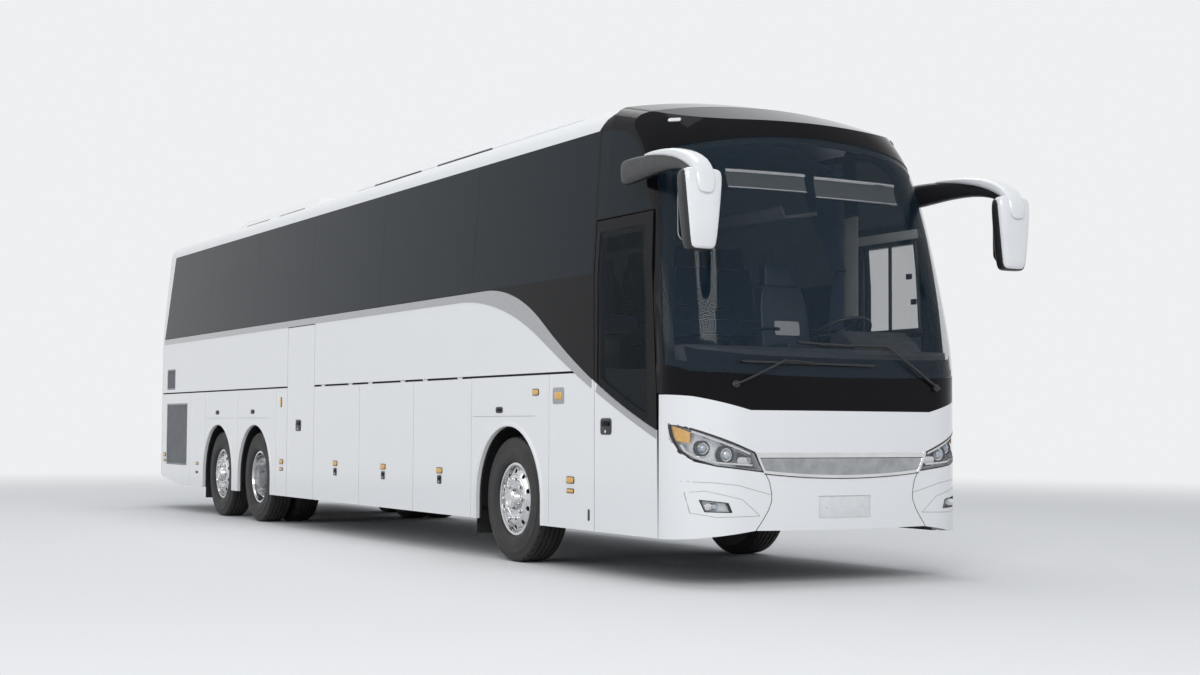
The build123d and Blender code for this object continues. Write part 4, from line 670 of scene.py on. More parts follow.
def head_rings(way, grow=0.0, sides=24):
    """Rings of a mirror's head, from its foot to its top."""
    rings = []
    for z, half_y, half_x in HEAD_SECTIONS:
        ring = []
        for step in range(sides):
            angle = 2 * pi * (step + 0.5) / sides
            along = (half_x + grow) * abs(cos(angle)) ** 0.55 * (1 if cos(angle) > 0 else -1)
            across = (half_y + grow) * abs(sin(angle)) ** 0.55 * (1 if sin(angle) > 0 else -1)
            ring.append((HEAD_X + along, way * (HEAD_Y + across), z))
        rings.append(ring)
    return rings


# Wheel arches

ARCH_RADIUS = 0.61
FLARE_WIDTH = 0.046
FLARE_OUT = 0.010
SKIRT_Z = 0.335
AXLES = (("front", FRONT_AXLE_X), ("drive", DRIVE_AXLE_X), ("tag", TAG_AXLE_X))


def arch_line(radius, low, steps=24):
    """Points round a wheel opening, from one foot over the wheel to the other."""
    line = [(radius, low - AXLE_Z), (radius, (low - AXLE_Z) / 2)]
    line += [(radius * cos(pi * step / steps), radius * sin(pi * step / steps)) for step in range(steps + 1)]
    return line + [(-radius, (low - AXLE_Z) / 2), (-radius, low - AXLE_Z)]


def arch_strip(rows, low, steps=24):
    """A closed bar round a wheel opening, whose section is rows of radius and distance out."""
    rings = []
    lines = [arch_line(radius, low, steps) for radius, out in rows]
    for index in range(len(lines[0])):
        rings.append([(*line[index], out) for line, (radius, out) in zip(lines, rows)])
    return ringed(rings)


# Shapes that follow the nose and the sides

def on_nose(outline, out, depth, pitch=0.03):
    """A plate with an outline of Y and Z that follows the nose's surface, its front face out from it."""
    small = slab(outline, depth)
    for axis in (0, 1):
        low = min(point[axis] for point in outline)
        high = max(point[axis] for point in outline)
        normal = Vector((1, 0, 0)) if axis == 0 else Vector((0, 1, 0))
        step = pitch if axis == 0 else 5 * pitch
        for index in range(1, int((high - low) / step) + 1):
            geometry = small.verts[:] + small.edges[:] + small.faces[:]
            bmesh.ops.bisect_plane(small, geom=geometry, plane_co=(low + index * step) * normal,
                                   plane_no=normal)
    for vert in small.verts:
        across, rise, ahead = vert.co
        vert.co = (nose_x(across, rise) + out - depth + ahead, across, rise)
    return small


def ribbon(points, width):
    """The outline of a narrow strip along some points of a view."""
    left, right = [], []
    for index, point in enumerate(points):
        before = Vector(points[max(index - 1, 0)])
        after = Vector(points[min(index + 1, len(points) - 1)])
        ahead = (after - before).normalized()
        sideways = Vector((-ahead.y, ahead.x)) * width / 2
        left.append(tuple(Vector(point) + sideways))
        right.append(tuple(Vector(point) - sideways))
    return left + right[::-1]


# Front

LAMP_OUTLINE = ((0.701, 0.816), (1.050, 0.858), (1.185, 0.908), (1.236, 0.968), (1.258, 1.060),
                (1.264, 1.148),
                (1.238, 1.135), (1.080, 1.068), (0.778, 0.952))
FOG_OUTLINE = ((0.950, 0.534), (1.118, 0.538), (1.146, 0.618), (0.976, 0.598))
BUMPER_SEAM = ((0.690, 0.812), (0.652, 0.745), (0.634, 0.660), (0.634, 0.610), (0.660, 0.545), (0.705, 0.478),
               (0.762, 0.404))
# Y, Z and radius of the round lamps in each headlamp
PROJECTORS = ((1.096, 0.979, 0.045), (0.958, 0.935, 0.051))
LAMP_DEPTH = 0.105


def lamp_spot(y, z, back):
    """The place of a round lamp that looks forward, its front behind the nose's surface."""
    return Matrix(((0, 0, 1, nose_x(y, z) - back), (1, 0, 0, y), (0, 1, 0, z), (0, 0, 0, 1)))


def closed_line(outline):
    """The pairs of neighbouring points round an outline."""
    return list(zip(outline, outline[1:] + outline[:1]))


class COACH_OT_front_lamps(bpy.types.Operator):
    """Make the headlamps and fog lamps: housings, projectors, turn lamps and clear covers"""

    bl_idname = "coach.front_lamps"
    bl_label = "Front Lamps"

    def execute(self, context):
        made = finishes()
        covers, insides = bmesh.new(), bmesh.new()
        for side, way in SIDES:
            lamp = [(way * y, z) for y, z in LAMP_OUTLINE]
            fog = [(way * y, z) for y, z in FOG_OUTLINE]
            place(covers, on_nose(lamp, 0.0, 0.004))
            place(covers, on_nose(fog, -0.012, 0.003))
            place(insides, on_nose(lamp, -LAMP_DEPTH, 0.004), None, 4)
            place(insides, on_nose(fog, -0.050, 0.004), None, 4)
            for a, b in closed_line(lamp):
                place(insides, on_nose(ribbon([a, b], 0.005), -0.003, LAMP_DEPTH - 0.002), None, 4)
                place(insides, on_nose(ribbon([a, b], 0.007), 0.0012, 0.006), None, 1)
            for y, z, size in PROJECTORS:
                nose_edge = nose_x(y + size, z) - 0.012
                back = nose_x(y, z) - nose_edge + 0.042
                spot = lamp_spot(way * y, z, back)
                bowl = [(size * 1.22, -0.030), (size * 1.22, 0.016), (size * 1.12, 0.026),
                        (size * 0.98, 0.014),
                        (size * 0.94, 0.000)]
                place(insides, lathe(bowl, 40), spot, 1)
                collar = [(size * 0.96, 0.006), (size * 0.92, 0.012), (size * 0.76, 0.010),
                          (size * 0.74, 0.002)]
                place(insides, lathe(collar, 40), spot, 0)
                dome = [(size * 0.76, 0.006), (size * 0.70, 0.020), (size * 0.54, 0.031),
                        (size * 0.30, 0.038),
                        (0.0, 0.040)]
                place(insides, lathe(dome, 40), spot, 3)
            spot = lamp_spot(way * 0.830, 0.893, 0.060)
            place(insides, slab(rounded_outline(0.120, 0.056, 0.026), 0.018, 0.008), spot, 0)
            turn = [(1.188, 1.014), (1.240, 1.030), (1.256, 1.138), (1.184, 1.090)]
            place(insides, on_nose([(way * y, z) for y, z in turn], -0.016, 0.012), None, 2)
            strip = [(0.780, 0.862), (1.040, 0.880), (1.150, 0.910), (1.206, 0.956), (1.224, 1.004)]
            place(insides, on_nose(ribbon([(way * y, z) for y, z in strip], 0.012), -0.018, 0.030), None, 0)
            brow = [(0.800, 0.942), (0.960, 1.004), (1.090, 1.056), (1.180, 1.098)]
            place(insides, on_nose(ribbon([(way * y, z) for y, z in brow], 0.014), -0.014, 0.030), None, 0)
            shade = [(0.720, 0.836), (0.800, 0.930), (0.860, 0.952), (0.880, 0.850)]
            place(insides, on_nose([(way * y, z) for y, z in shade], -0.070, 0.004), None, 1)
            spot = lamp_spot(way * 1.046, 0.572, 0.046)
            place(insides, slab(rounded_outline(0.150, 0.052, 0.020), 0.006, 0.003), spot, 0)
            place(insides, lathe([(0.024, 0.006), (0.024, 0.014), (0.018, 0.022), (0.0, 0.026)], 28), spot, 3)
        piece = finish_mesh("lamp_covers", covers, "coach", [made["cover"]])
        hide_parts("front_lamps")
        finish_mesh("lamp_insides", insides, "coach",
                    [made["chrome"], made["plastic"], made["amber"], made["lens"], made["reflector"]])
        return {"FINISHED"}


def grille_edge(drop, steps=24):
    """The grille's lower edge, a shallow bow across the nose, some way under its line."""
    bow = [(-0.694 + 1.388 * step / steps) for step in range(steps + 1)]
    return [(y, 0.777 + 0.036 * (y / 0.694) ** 2 - drop) for y in bow]


class COACH_OT_front_trim(bpy.types.Operator):
    """Make the grille's frame and strips, the seams and creases of the bumper, and the blank plate"""

    bl_idname = "coach.front_trim"
    bl_label = "Front Trim"

    def execute(self, context):
        made = finishes()
        chrome, seams, plate = bmesh.new(), bmesh.new(), bmesh.new()
        panel = [(-0.742, 0.914)] + grille_edge(-0.012) + [(0.742, 0.914)]
        place(chrome, on_nose(panel, 0.003, 0.006), None, 1)
        for z, half in ((0.850, 0.706), (0.882, 0.722)):
            sag = [(-half, z), (-half / 2, z - 0.004), (0.0, z - 0.006), (half / 2, z - 0.004), (half, z)]
            place(chrome, on_nose(ribbon(sag, 0.006), 0.007, 0.008), None, 1)
        rim = [(-0.760, 0.950), (-0.728, 0.880)] + grille_edge(0.0) + [(0.728, 0.880), (0.760, 0.950)]
        place(chrome, on_nose(ribbon(rim, 0.017), 0.008, 0.010), None, 0)
        place(seams, on_nose(ribbon(grille_edge(0.0115), 0.007), 0.0035, 0.006))
        place(chrome, on_nose([(-0.758, 0.948), (-0.741, 0.916), (0.741, 0.916), (0.758, 0.948)], 0.008,
                              0.010), None, 0)
        place(seams, on_nose(ribbon([(-0.740, 0.913), (0.740, 0.913)], 0.005), 0.0035, 0.006))
        for side, way in SIDES:
            for points in (BUMPER_SEAM,
                           ((0.690, 0.812), (1.048, 0.854), (1.170, 0.887), (1.236, 0.948), (1.258, 1.022)),
                           ((0.768, 0.953), (0.932, 1.018), (1.100, 1.084), (1.240, 1.143)),
                           ((1.274, 1.166), (1.264, 1.152)), ((1.274, 1.041), (1.258, 1.024))):
                place(seams, on_nose(ribbon([(way * y, z) for y, z in points], 0.005), 0.0010, 0.004))
            crease = [(0.640, 0.655), (0.780, 0.690), (0.905, 0.722), (1.060, 0.740), (1.230, 0.748)]
            place(seams, on_nose(ribbon([(way * y, z) for y, z in crease], 0.004), 0.0008, 0.003), None, 1)
            recess = [(1.216, 0.669), (1.120, 0.683), (0.871, 0.622), (0.729, 0.507), (1.052, 0.500),
                      (1.191, 0.527)]
            for a, b in closed_line([(way * y, z) for y, z in recess]):
                place(seams, on_nose(ribbon([a, b], 0.004), 0.0008, 0.003), None, 1)
            for a, b in closed_line([(way * y, z) for y, z in FOG_OUTLINE]):
                place(seams, on_nose(ribbon([a, b], 0.006), 0.0020, 0.030))
        spot = Matrix(((0, 0, 1, nose_x(0, 0.56) - 0.011), (1, 0, 0, 0.0), (0, 1, 0, 0.560), (0, 0, 0, 1)))
        place(plate, slab(rounded_outline(0.452, 0.150, 0.014), 0.004, 0.001), spot, 0)
        for y in (-0.16, 0.16):
            screw = lathe([(0.007, 0.003), (0.006, 0.006), (0.0, 0.0068)], 16)
            place(plate, screw, spot @ Matrix.Translation((y, 0.0, 0.0)), 1)
        finish_mesh("grille_trim", chrome, "coach", [made["chrome"], made["grille_dark"]])
        finish_mesh("front_seams", seams, "coach", [made["plastic"], made["crease"]])
        finish_mesh("front_plate", plate, "coach", [made["plate"], made["chrome"]])
        return {"FINISHED"}


class COACH_OT_wipers(bpy.types.Operator):
    """Make the two wipers with their arms and blades"""

    bl_idname = "coach.wipers"
    bl_label = "Wipers"

    def execute(self, context):
        made = finishes()
        bm = bmesh.new()

        def glass(y, z, out):
            return (nose_x(y, z) + out, y, z)

        for pivot, elbow, end, tip, tail in (
            ((-0.928, 1.432), (-0.529, 1.606), (-0.300, 1.596), (-0.879, 1.594), (0.267, 1.585)),
            ((0.865, 1.432), (0.397, 1.727), (0.090, 1.728), (-0.398, 1.741), (0.576, 1.710)),
        ):
            side = 1 if pivot[0] > 0 else -1
            root = (pivot[0] + side * 0.03, pivot[1] - 0.006)
            cap = lathe([(0.030, 0.0), (0.030, 0.016), (0.024, 0.026), (0.0, 0.028)], 28)
            place(bm, cap, lamp_spot(pivot[0], pivot[1], 0.0))
            arm = [glass(*root, 0.022), glass(*pivot, 0.028)]
            middle = ((pivot[0] + elbow[0]) / 2, (pivot[1] + elbow[1]) / 2)
            arm += [glass(*middle, 0.034), glass(*elbow, 0.030)]
            place(bm, tube(arm, 0.0085, 3))
            place(bm, tube([glass(*elbow, 0.030),
                            glass((elbow[0] + end[0]) / 2, (elbow[1] + end[1]) / 2, 0.032),
                            glass(*end, 0.026)], 0.0065, 3))
            joint = lathe([(0.013, 0.0), (0.013, 0.012), (0.0, 0.013)], 20)
            place(bm, joint, lamp_spot(elbow[0], elbow[1], -0.024))
            steps = 12
            spine = []
            for step in range(steps + 1):
                part = step / steps
                y = tip[0] + part * (tail[0] - tip[0])
                z = tip[1] + part * (tail[1] - tip[1])
                spine.append((y, z))
            place(bm, on_nose(ribbon(spine, 0.014), 0.0215, 0.007))
            place(bm, on_nose(ribbon(spine, 0.005), 0.0145, 0.0135))
        piece = finish_mesh("wiper_pair", bm, "coach", [made["plastic"]])
        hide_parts("wipers")
        return {"FINISHED"}


# Wheels

def wheel_spot(x, y, way):
    """The place of a shape on a wheel, its Z axis looking outwards along the axle."""
    return Matrix(((1, 0, 0, x), (0, 0, way, y), (0, -way, 0, AXLE_Z), (0, 0, 0, 1)))


def wheel_nut(radius, low, high):
    """A wheel nut with its washer and domed cap."""
    tall = high - low
    profile = [(radius * 1.28, low), (radius * 1.28, low + 0.12 * tall), (radius * 1.05, low + 0.16 * tall),
               (radius, low + 0.20 * tall), (radius * 0.98, low + 0.62 * tall),
               (radius * 0.78, low + 0.86 * tall),
               (radius * 0.42, low + 0.97 * tall), (0.0, high)]
    return lathe(profile, 18)


class COACH_OT_wheel_trim(bpy.types.Operator):
    """Make the rims' bright lips, mounting rings, domed nuts and hubs"""

    bl_idname = "coach.wheel_trim"
    bl_label = "Wheel Trim"

    def execute(self, context):
        made = finishes()
        for side, way in SIDES:
            for axle, x in AXLES:
                bm = bmesh.new()
                twin = axle == "drive"
                y = way * (TWIN_Y if twin else SINGLE_Y)
                spot = wheel_spot(x, y, way)
                face = 0.0125 if twin else 0.1185
                outer = TWIN_SPACING / 2 if twin else 0.0
                lip = [(0.2745, outer + 0.092), (0.2790, outer + 0.108), (0.2850, outer + 0.1140),
                       (0.2960, outer + 0.1160), (0.3030, outer + 0.1140), (0.3056, outer + 0.1090)]
                place(bm, lathe(lip, 72), spot)
                ring = [(0.1300, face - 0.002), (0.1310, face + 0.005), (0.1360, face + 0.008),
                        (0.1960, face + 0.008), (0.2010, face + 0.005), (0.2050, face - 0.002)]
                place(bm, lathe(ring, 72), spot)
                high = 0.067 if twin else 0.1535
                turn = LEFT_WHEEL_TURN if way > 0 and not twin else 0.0
                for index in range(10):
                    angle = 2 * pi * index / 10 + turn
                    nut = wheel_nut(0.0180, face + 0.007, high)
                    place(bm, nut, spot @ Matrix.Translation((0.1675 * cos(angle), 0.1675 * sin(angle), 0.0)))
                base = 0.1645 if twin else 0.1695
                cap = [(0.0600, base - 0.001), (0.0600, base + 0.0035), (0.0560, base + 0.0050),
                       (0.0500, base + 0.0030),
                       (0.0440, base + 0.0010), (0.0, base + 0.0018)]
                place(bm, lathe(cap, 48), spot)
                for index in range(8):
                    angle = 2 * pi * (index + 0.5) / 8
                    screw = lathe([(0.0065, 0.0), (0.0065, 0.004), (0.0050, 0.0055), (0.0, 0.0058)], 12)
                    lift = base - 0.0095 if twin else base - 0.0050
                    around = 0.104 if twin else 0.0700
                    place(bm, screw, spot
                          @ Matrix.Translation((around * cos(angle), around * sin(angle), lift)), 1)
                for index in range(10):
                    angle = 2 * pi * (index + 0.5) / 10 + turn
                    depth = 0.048 if twin else 0.0975
                    rim = [(0.0205, depth - 0.004), (0.0225, depth + 0.006), (0.0265, depth + 0.0085),
                           (0.0310, depth + 0.004)]
                    place(bm, lathe(rim, 20), spot
                          @ Matrix.Translation((0.232 * cos(angle), 0.232 * sin(angle), 0.0)))
                finish_mesh("rim_trim_" + axle + "_" + side, bm, "wheel_" + axle + "_" + side,
                            [made["chrome"], made["alloy"]])
        return {"FINISHED"}


# Sides

FLAP_OF = ((-0.810, 0.520, 1), (0.520, 1.900, 2), (1.900, 3.180, 3))
# X, Z, width, height
LOW_MARKERS = ((5.005, 0.712, 0.120, 0.044), (2.505, 0.726, 0.120, 0.044), (1.161, 0.730, 0.120, 0.044),
               (-0.149, 0.735, 0.120, 0.044), (-1.853, 0.719, 0.120, 0.044), (-6.718, 0.721, 0.120, 0.044),
               (5.007, 0.628, 0.105, 0.026), (-1.849, 0.636, 0.105, 0.026), (-5.157, 0.632, 0.105, 0.026),
               (-6.713, 0.646, 0.105, 0.026), (4.402, 1.405, 0.105, 0.044), (-1.884, 1.387, 0.036, 0.100))
OVAL_LATCHES = ((3.733, 1.265), (-4.300, 1.283), (-2.900, 1.285))
SQUARE_LATCHES = ((2.507, 0.645), (1.164, 0.647), (-0.146, 0.649))
# X, Z, width, height
VENT_SLOTS = ((5.305, 0.454, 0.030, 0.090), (-5.159, 0.520, 0.110, 0.030))


def flap_body(side, x):
    """The body that a small piece low on a side rides on."""
    for rear, front, number in FLAP_OF:
        if rear < x < front:
            return "flap_" + side + "_" + str(number)
    return "coach"


def marker(width, height):
    """A side marker's lens with rounded edges; its thin black foot is made by the caller."""
    return slab(rounded_outline(width, height, 0.45 * min(width, height)), 0.008, 0.004, 3)


class COACH_OT_side_fittings(bpy.types.Operator):
    """Make the markers, latches, vents and plates along both sides"""

    bl_idname = "coach.side_fittings"
    bl_label = "Side Fittings"

    def execute(self, context):
        made = finishes()
        for side, way in SIDES:
            fittings = {}
            for x, z, width, height in LOW_MARKERS:
                bm = fittings.setdefault(flap_body(side, x), bmesh.new())
                base = slab(rounded_outline(width + 0.012, height + 0.012, 0.45 * min(width, height)),
                            0.004, 0.001)
                place(bm, base, on_side(x, z, way), 1)
                place(bm, marker(width, height), on_side(x, z, way, 0.001), 0)
            for x, z in OVAL_LATCHES:
                bm = fittings["coach"]
                place(bm, slab(rounded_outline(0.130, 0.052, 0.025), 0.006, 0.003), on_side(x, z, way), 1)
                place(bm, slab(rounded_outline(0.092, 0.026, 0.012), 0.009, 0.003), on_side(x, z, way), 2)
            for x, z in SQUARE_LATCHES:
                bm = fittings.setdefault(flap_body(side, x), bmesh.new())
                place(bm, slab(rounded_outline(0.088, 0.078, 0.014), 0.005, 0.002), on_side(x, z, way), 1)
                place(bm, slab(rounded_outline(0.060, 0.030, 0.010), 0.010, 0.003),
                      on_side(x, z + 0.010, way), 2)
                lock = lathe([(0.009, 0.005), (0.009, 0.009), (0.0, 0.0095)], 20)
                place(bm, lock, on_side(x, z - 0.022, way), 3)
            for x, z, width, height in VENT_SLOTS:
                vent = slab(rounded_outline(width, height, 0.014), 0.003, 0.001)
                place(fittings["coach"], vent, on_side(x, z, way), 1)
            hatch = slab(rounded_outline(0.190, 0.130, 0.020), 0.003, 0.0015)
            place(fittings["coach"], hatch, on_side(4.799, 1.372, way), 5)
            place(fittings["coach"], slab(rounded_outline(0.120, 0.060, 0.016), 0.006, 0.002),
                  on_side(4.799, 1.372, way), 0)
            for x0, x1, z in ((3.21, 4.39, 1.212), (-4.83, -3.54, 1.212), (-3.47, -2.30, 1.212)):
                strip = slab([(x0, z - 0.002), (x1, z - 0.002), (x1, z + 0.002), (x0, z + 0.002)], 0.0012)
                place(fittings["coach"], strip,
                      Matrix(((1, 0, 0, 0), (0, 0, way, way * HALF_WIDTH), (0, 1, 0, 0), (0, 0, 0, 1))), 5)
            for body, bm in fittings.items():
                name = "fittings_" + side if body == "coach" else "fittings_" + body
                finish_mesh(name, bm, body,
                            [made["amber"], made["plastic"], made["black"], made["chrome"], made["plate"],
                             made["crease"]])
        return {"FINISHED"}


class COACH_OT_door_fittings(bpy.types.Operator):
    """Make the doors' handles, each with its base and lock"""

    bl_idname = "coach.door_fittings"
    bl_label = "Door Fittings"

    def execute(self, context):
        made = finishes()
        for name, x, z, body in (("entrance_handle", 5.566, 1.130, "entrance_door"),
                                 ("mid_handle", -1.297, 1.127, "middle_door")):
            bm = bmesh.new()
            place(bm, slab(rounded_outline(0.168, 0.125, 0.028), 0.004, 0.002), on_side(x, z, -1), 0)
            place(bm, slab(rounded_outline(0.126, 0.042, 0.019), 0.013, 0.005), on_side(x, z + 0.022, -1), 1)
            place(bm, lathe([(0.012, 0.003), (0.012, 0.008), (0.0, 0.0085)], 20), on_side(x, z - 0.038, -1),
                  2)
            finish_mesh(name, bm, body, [made["plastic"], made["black"], made["chrome"]])
        return {"FINISHED"}


# Stripe on the entrance door

STRIPE_HIGH = ((3.450, 2.290), (4.520, 1.965), (6.330, 1.095))
STRIPE_LOW = ((2.900, 2.220), (4.500, 1.825), (6.330, 1.030))


def tangent_arc(start, ahead, end, steps=24):
    """Points of the arc from a start in a direction to an end, and its direction there."""
    start, ahead, end = Vector(start), Vector(ahead).normalized(), Vector(end)
    chord = end - start
    sideways = Vector((-ahead.y, ahead.x))
    radius = chord.length_squared / (2 * chord.dot(sideways))
    sweep = 2 * atan2(chord.dot(sideways), chord.dot(ahead))
    points = []
    for step in range(steps + 1):
        angle = sweep * step / steps
        points.append(tuple(start + sideways * radius * (1 - cos(angle)) + ahead * radius * sin(angle)))
    return points, ahead * cos(sweep) + sideways * sin(sweep)


def stripe_line(edge, low, high):
    """An edge of the stripe between two places along X."""
    fall, ahead = tangent_arc(edge[0], (1, 0), edge[1])
    run_out, ahead = tangent_arc(edge[1], ahead, edge[2], 60)
    return [point for point in fall + run_out[1:] if low <= point[0] <= high]


class COACH_OT_door_stripe(bpy.types.Operator):
    """Make the part of the silver stripe that lies on the entrance door"""

    bl_idname = "coach.door_stripe"
    bl_label = "Door Stripe"

    def execute(self, context):
        made = finishes()
        bm = bmesh.new()
        upper = stripe_line(STRIPE_HIGH, 5.395, 6.300)
        lower = stripe_line(STRIPE_LOW, 5.395, 6.300)
        outline = lower + upper[::-1]
        place(bm, slab(outline, 0.0015),
              Matrix(((1, 0, 0, 0), (0, 0, -1, -HALF_WIDTH), (0, 1, 0, 0), (0, 0, 0, 1))))
        finish_mesh("door_stripe", bm, "entrance_door", [made["silver"]])
        return {"FINISHED"}


# Windscreen

class COACH_OT_screen_trim(bpy.types.Operator):
    """Make the windscreen's black band, the roller blinds behind it and the lamps on the cap"""

    bl_idname = "coach.screen_trim"
    bl_label = "Windscreen Trim"

    def execute(self, context):
        made = finishes()
        band, lamps = bmesh.new(), bmesh.new()
        low = [(-1.190, 1.528), (-0.600, 1.507), (0.0, 1.500), (0.600, 1.507), (1.190, 1.528)]
        high = [(1.205, 1.690), (1.141, 1.668), (1.014, 1.645), (0.600, 1.634), (0.0, 1.631), (-0.600, 1.638),
                (-0.836, 1.645), (-1.141, 1.676), (-1.205, 1.700)]
        place(band, on_nose(low + high, -0.0095, 0.002))
        finish_mesh("screen_band", band, "coach", [made["black"]])
        for side, way in SIDES:
            y, z = 1.013 * way, 3.391
            slope_y = (nose_x(y + 0.005, z) - nose_x(y - 0.005, z)) / 0.01
            slope_z = (nose_x(y, z + 0.005) - nose_x(y, z - 0.005)) / 0.01
            spot = facing((nose_x(y, z) - 0.004, y, z), (1.0, -slope_y, -slope_z))
            place(lamps, slab(rounded_outline(0.112, 0.044, 0.020), 0.008, 0.002), spot, 1)
            place(lamps, slab(rounded_outline(0.098, 0.030, 0.014), 0.014, 0.005, 3), spot, 0)
        finish_mesh("cap_lamps", lamps, "coach", [made["plate"], made["plastic"]])
        for name, y0, y1, z0, z1 in (("blind_right", -0.790, -0.126, 2.873, 2.985),
                                     ("blind_left", -0.045, 0.745, 2.842, 2.975)):
            cloth = bmesh.new()
            steps = 16
            rows = []
            for row in range(5):
                z = z0 + (z1 - z0) * row / 4
                rows.append([cloth.verts.new((nose_x(y0 + (y1 - y0) * step / steps, z) - 0.055,
                                              y0 + (y1 - y0) * step / steps,
                                              z)) for step in range(steps + 1)])
            for lower, upper in zip(rows, rows[1:]):
                for step in range(steps):
                    cloth.faces.new((lower[step], lower[step + 1], upper[step + 1], upper[step]))
            piece = finish_mesh(name, cloth, "coach", [made["blind"]])
            bars = bmesh.new()
            for z, radius in ((z0, 0.007), (z1 + 0.012, 0.018)):
                line = [(nose_x(y0 + (y1 - y0) * step / 8, z) - 0.055, y0 + (y1 - y0) * step / 8,
                         z) for step in range(9)]
                place(bars, tube(line, radius, 3))
            rod = finish_mesh(name + "_rods", bars, "coach", [made["alloy"]])
        return {"FINISHED"}


# Seats

def pad(size, thin, crown=0.012, pull=0.05, taper=0.0, channel=0.0, cuts=5):
    """A padded block about its middle: crowned on its broad faces, its sides drawn in between the corners."""
    small = bmesh.new()
    bmesh.ops.create_cube(small, size=2.0)
    bmesh.ops.subdivide_edges(small, edges=small.edges[:], cuts=cuts, use_grid_fill=True)
    wide = [axis for axis in range(3) if axis != thin]
    for vert in small.verts:
        unit = vert.co.copy()
        a, b = unit[wide[0]], unit[wide[1]]
        half = [side / 2 for side in size]
        spot = Vector((unit[0] * half[0], unit[1] * half[1], unit[2] * half[2]))
        spot[thin] += unit[thin] * crown * (1 - a * a) * (1 - b * b)
        if channel and abs(abs(unit.y)
                           - 2 / 3) < 0.1 and abs(unit[thin]) > 0.99 and abs(a) < 0.99 and abs(b) < 0.99:
            spot[thin] -= unit[thin] * channel
        spot[wide[0]] *= 1 - pull * (1 - b * b) * abs(a)
        spot[wide[1]] *= 1 - pull * (1 - a * a) * abs(b)
        spot.y *= 1 - taper * max(0.0, unit.z) ** 2
        vert.co = spot
    corners = [edge for edge in small.edges if abs(edge.calc_face_angle(0.0)) > 0.9]
    bmesh.ops.bevel(small, geom=corners, offset=0.35 * size[thin] / cuts, offset_type="OFFSET", segments=1,
                    profile=0.5,
                    affect="EDGES", material=-1, clamp_overlap=True)
    return small


def seat_parts(pads, shells, x, middle, base, floor, wide, head, patch=False):
    """One seat's cushion, back and headrest in one mesh, and its pan, shell and leg in another."""
    place(pads, pad((0.450, wide, 0.125), 2, 0.014, 0.04, channel=0.006),
          Matrix.Translation((x + 0.012, middle, base + 0.068)))
    lean = Matrix.Rotation(-0.150, 4, "Y")
    place(pads, pad((0.110, wide, 0.560), 0, 0.016, 0.03, 0.22, 0.008),
          Matrix.Translation((x - 0.208, middle, base + 0.345)) @ lean)
    place(pads, pad((0.095, head, 0.195), 0, 0.012, 0.05, 0.10),
          Matrix.Translation((x - 0.275, middle, base + 0.712)) @ lean, 1)
    if patch:
        plate = slab(rounded_outline(0.250, 0.120, 0.020), 0.004, 0.002)
        place(pads, plate, Matrix.Translation((x - 0.128, middle, base + 0.270)) @ lean
              @ Matrix.Rotation(pi / 2, 4, "Y")
              @ Matrix.Rotation(pi / 2, 4, "Z"), 2)
    place(shells, box((0.440, wide - 0.060, 0.030), 0.008, 2), Matrix.Translation((x, middle, base - 0.012)))
    place(shells, box((0.016, wide - 0.030, 0.600), 0.007, 2),
          Matrix.Translation((x - 0.272, middle, base + 0.360)) @ lean)
    place(shells, box((0.280, wide - 0.220, base - floor - 0.020), 0.015, 2),
          Matrix.Translation((x, middle, (base + floor) / 2 - 0.008)))
    for way in (-1, 1):
        line = [(x - 0.235, middle + way * (wide / 2 + 0.004), base + 0.250),
                (x - 0.100, middle + way * (wide / 2 + 0.004), base + 0.262),
                (x + 0.110, middle + way * (wide / 2 + 0.004), base + 0.245)]
        place(shells, tube(line, 0.014, 2))


class COACH_OT_seats(bpy.types.Operator):
    """Make the driver's seat and the rows of passenger seats, padded and with their shells"""

    bl_idname = "coach.seats"
    bl_label = "Seats"

    def execute(self, context):
        made = finishes()
        pads, shells = bmesh.new(), bmesh.new()
        seat_parts(pads, shells, 5.330, 0.645, 1.680, 1.200, 0.490, 0.320, True)
        piece = finish_mesh("driver_seat_pads", pads, "coach",
                            [made["leather"], made["leather"], made["plate"]],
                            levels=1)
        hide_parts("cab_seats")
        finish_mesh("driver_seat_base", shells, "coach", [made["plastic"]])
        pads, shells = bmesh.new(), bmesh.new()
        for index in range(SEAT_ROWS):
            x = 4.150 - 0.790 * index
            for side, way in SIDES:
                if side == "right" and -1.900 < x < -0.480:
                    continue
                for middle in (0.5075, 0.9525):
                    seat_parts(pads, shells, x, way * middle, 1.930, 1.600, 0.405, 0.270)
        piece = finish_mesh("passenger_seat_pads", pads, "coach",
                            [made["fabric"], made["leather"]])
        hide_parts("passenger_seats")
        finish_mesh("passenger_seat_bases", shells, "coach", [made["plastic"]])
        return {"FINISHED"}


# Cab

# A row of the curtain: height, where it starts and ends along X, distance out
CURTAIN_ROWS = ((3.360, 4.700, 5.240, 1.100), (3.200, 4.760, 5.260, 1.112), (3.000, 4.860, 5.285, 1.120),
                (2.800, 4.960, 5.300, 1.124), (2.620, 5.080, 5.312, 1.128), (2.500, 5.170, 5.316, 1.130),
                (2.430, 5.205, 5.314, 1.130), (2.360, 5.196, 5.318, 1.130), (2.200, 5.165, 5.316, 1.130),
                (2.050, 5.145, 5.312, 1.130), (1.950, 5.135, 5.310, 1.130))
CURTAIN_FOLDS = 9
CURTAIN_WIDTH = 0.86


def curtain_rows():
    """The curtain's rows, with more between the measured ones."""
    rows = []
    for low, high in zip(CURTAIN_ROWS, CURTAIN_ROWS[1:]):
        for step in range(4):
            part = step / 4
            rows.append([a + part * (b - a) for a, b in zip(low, high)])
    return rows + [list(CURTAIN_ROWS[-1])]


